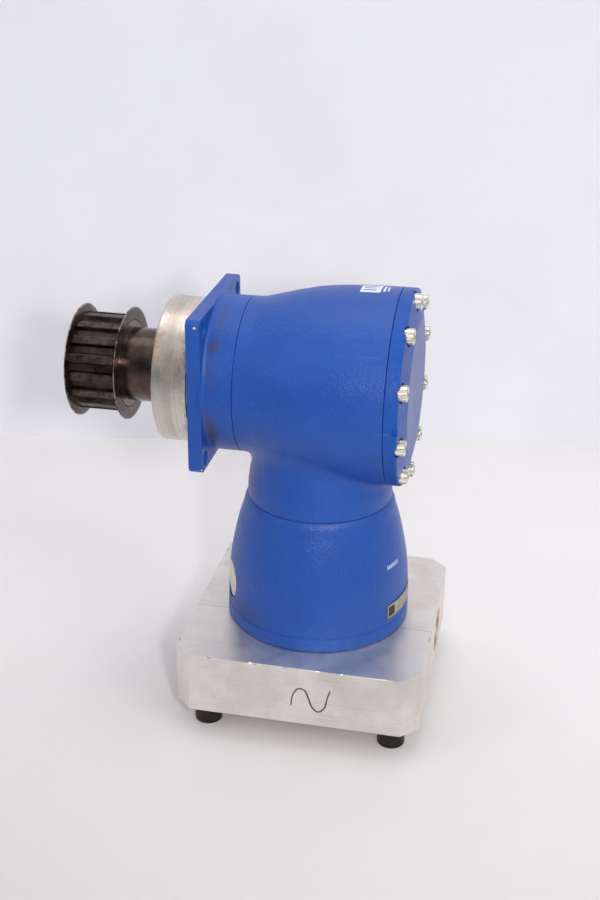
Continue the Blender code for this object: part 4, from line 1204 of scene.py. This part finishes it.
def make_clamp():
    """The clamp hub and its screw, seen up the plate's bore."""
    screw_y = 0.0205
    turn = PLUG_TURN - math.asin(screw_y / 0.0613)
    profile = [
        (0.0270, 0.0900), (0.0270, 0.0488), (0.0262, 0.0480), (0.0146, 0.0480),
        (0.0140, 0.0486), (0.0140, 0.0785), (0.0127, 0.0785), (0.0127, 0.0900),
    ]
    place = INPUT @ Matrix.Rotation(turn, 4, "Z")
    hub = lathe("clamp_sleeve", profile, place, 80, 0.0004)
    across = place @ Matrix.Translation((0, screw_y, PLUG_Z)) @ Matrix.Rotation(math.pi / 2, 4, "Y")
    cut(
        hub,
        box_piece("h1", (-0.0015, 0.010, 0.045), (0.0015, 0.040, 0.075), place),
        rods("h2", 0.0043, -0.0165, 0.02, place=across, sides=24),
        rods("h3", 0.0068, 0.0077, 0.04, place=across, sides=40),
    )
    dress(hub, HUB_DARK, "input", ["clamp_hub"], 32)
    screw = socket_screw("clamp_bolt", 0.0065, 0.0, 0.008, 0.0040, -0.024, 0.006, 0.004, 40)
    screw.matrix_world = across @ Matrix.Translation((0, 0, 0.008))
    dress(screw, BOLT, "input", ["clamp_screw"], 32)


make_plate()
make_marker()
make_bolts()
make_bell()
make_nameplate()
make_bell_marks()
make_gear_housing()
make_cover()
make_label_pieces()
make_output_housing()
make_sleeve()
make_pulley()
make_clamp()
dress_kept_nodes()

# ---- floor, wall, light and camera ----

CAMERA_YAW = -0.2023
WALL_AWAY = 0.398


def sheet_piece(name, low, high, place, near_colour, far_colour, roughness, see_through=False):
    """A flat sheet in its own X and Y, its colour changing slowly along Y."""
    shape = bmesh.new()
    corners = [(low[0], low[1], 0), (high[0], low[1], 0), (high[0], high[1], 0), (low[0], high[1], 0)]
    shape.faces.new([shape.verts.new(corner) for corner in corners])
    mesh = bpy.data.meshes.new(name)
    shape.to_mesh(mesh)
    shape.free()
    piece = link(bpy.data.objects.new(name, mesh), place)
    look = Look(name + "_look", roughness=roughness, Specular_IOR_Level=0.25)
    colour = look.mix(look.step(look.axes()[1], -0.55, 0.25), near_colour, far_colour)
    cloud = look.step(look.noise(5.0, 4.0, 0.6), 0.40, 0.66)
    look.set("Base Color", look.tint(colour, (0.62, 0.56, 0.56), cloud, 0.12))
    if see_through:
        clear = look.nodes.new("ShaderNodeBsdfTransparent")
        choose = look.nodes.new("ShaderNodeMixShader")
        side = look.nodes.new("ShaderNodeNewGeometry")
        look.links.new(side.outputs["Backfacing"], choose.inputs[0])
        look.links.new(look.shader.outputs[0], choose.inputs[1])
        look.links.new(clear.outputs[0], choose.inputs[2])
        look.links.new(choose.outputs[0], look.nodes["Material Output"].inputs["Surface"])
    piece.data.materials.append(look.material)


def make_stage():
    """A floor that pales away from the camera, its darker near part painted shade, and a wall behind it,
    square to the camera's heading.
    """
    # Painted shade: the floor's colour is darker towards the camera.
    shaded_near_floor, far_floor = (0.44, 0.42, 0.42), (0.86, 0.83, 0.825)
    sheet_piece("floor", (-3, -3), (3, 3), Matrix.Identity(4), shaded_near_floor, far_floor, 0.6)
    turned = Matrix.Rotation(-CAMERA_YAW, 4, "Z")
    wall = turned @ Matrix.Translation((0, WALL_AWAY, 0)) @ Matrix.Rotation(math.pi / 2, 4, "X")
    pale = (0.88, 0.885, 0.93)
    sheet_piece("wall", (-1.3, 0), (1.3, 1.2), wall, pale, pale, 0.75, True)


def area_light(name, at, towards, size, power, colour=(1, 1, 1)):
    light = bpy.data.lights.new(name, "AREA")
    light.shape = "RECTANGLE"
    light.size, light.size_y = size
    light.energy = power
    light.color = colour
    lamp = bpy.data.objects.new(name, light)
    bpy.context.scene.collection.objects.link(lamp)
    lamp.location = at
    aim = Vector(towards) - Vector(at)
    lamp.rotation_euler = aim.to_track_quat("-Z", "Y").to_euler()


def make_world():
    """A pale ceiling over a dimmer room, so that metal has something to reflect."""
    world = bpy.data.worlds.new("studio")
    bpy.context.scene.world = world
    world.use_nodes = True
    nodes = world.node_tree.nodes
    links = world.node_tree.links
    split = nodes.new("ShaderNodeSeparateXYZ")
    links.new(nodes.new("ShaderNodeTexCoord").outputs["Generated"], split.inputs[0])
    strength = 0.0
    for axis, low, high, share in ((2, 0.35, 0.80, 0.55), (1, -0.45, 0.30, 0.30)):
        part = nodes.new("ShaderNodeMapRange")
        part.interpolation_type = "SMOOTHSTEP"
        links.new(split.outputs[axis], part.inputs["Value"])
        part.inputs["From Min"].default_value = low
        part.inputs["From Max"].default_value = high
        part.inputs["To Min"].default_value = 0.05
        part.inputs["To Max"].default_value = share
        total = nodes.new("ShaderNodeMath")
        links.new(part.outputs[0], total.inputs[0])
        if strength:
            links.new(strength, total.inputs[1])
        else:
            total.inputs[1].default_value = 0.08
        strength = total.outputs[0]
    background = nodes["Background"]
    background.inputs[0].default_value = (0.93, 0.95, 1.0, 1)
    links.new(strength, background.inputs[1])


def make_lights():
    """One small hard light by the camera, and large soft ones all round."""
    area_light("flash", (0.310, -0.790, 0.560), (0, 0, 0.14), (0.06, 0.06), 3.0, (1, 0.985, 0.97))
    area_light("softbox", (0.28, -1.15, 0.72), (0, 0, 0.14), (0.55, 0.32), 2.6)
    area_light("key", (1.35, -0.85, 1.20), (0, 0, 0.12), (0.8, 0.8), 8.0, (1, 0.975, 0.94))
    area_light("fill", (-1.0, -0.75, 0.7), (0, 0, 0.12), (0.6, 0.9), 2.2, (0.95, 0.97, 1))
    area_light("top", (0.0, 0.25, 1.45), (0, 0.1, 0.1), (0.9, 0.9), 4.6)
    area_light("back", (0.3, 1.1, 0.9), (0, 0, 0.12), (0.9, 0.6), 2.4)


def make_camera():
    """The photograph's viewing angle, as yaw, pitch and roll in radians."""
    yaw, pitch, roll = CAMERA_YAW, -0.4328, 0.0114
    ahead = Vector((math.sin(yaw) * math.cos(pitch), math.cos(yaw) * math.cos(pitch), math.sin(pitch)))
    right = Vector((math.cos(yaw), -math.sin(yaw), 0))
    up = right.cross(ahead)
    turned_right = right * math.cos(roll) + up * math.sin(roll)
    turned_up = up * math.cos(roll) - right * math.sin(roll)
    data = bpy.data.cameras.new("camera")
    data.lens = 53.14
    data.sensor_width = 36
    data.sensor_fit = "AUTO"
    data.clip_start = 0.02
    camera = bpy.data.objects.new("camera", data)
    bpy.context.scene.collection.objects.link(camera)
    turn = Matrix((turned_right, turned_up, -ahead)).transposed().to_4x4()
    camera.matrix_world = Matrix.Translation((0.1843, -0.7741, 0.5402)) @ turn
    bpy.context.scene.camera = camera


make_stage()
make_world()
make_lights()
make_camera()
bpy.context.scene.view_settings.view_transform = "Standard"
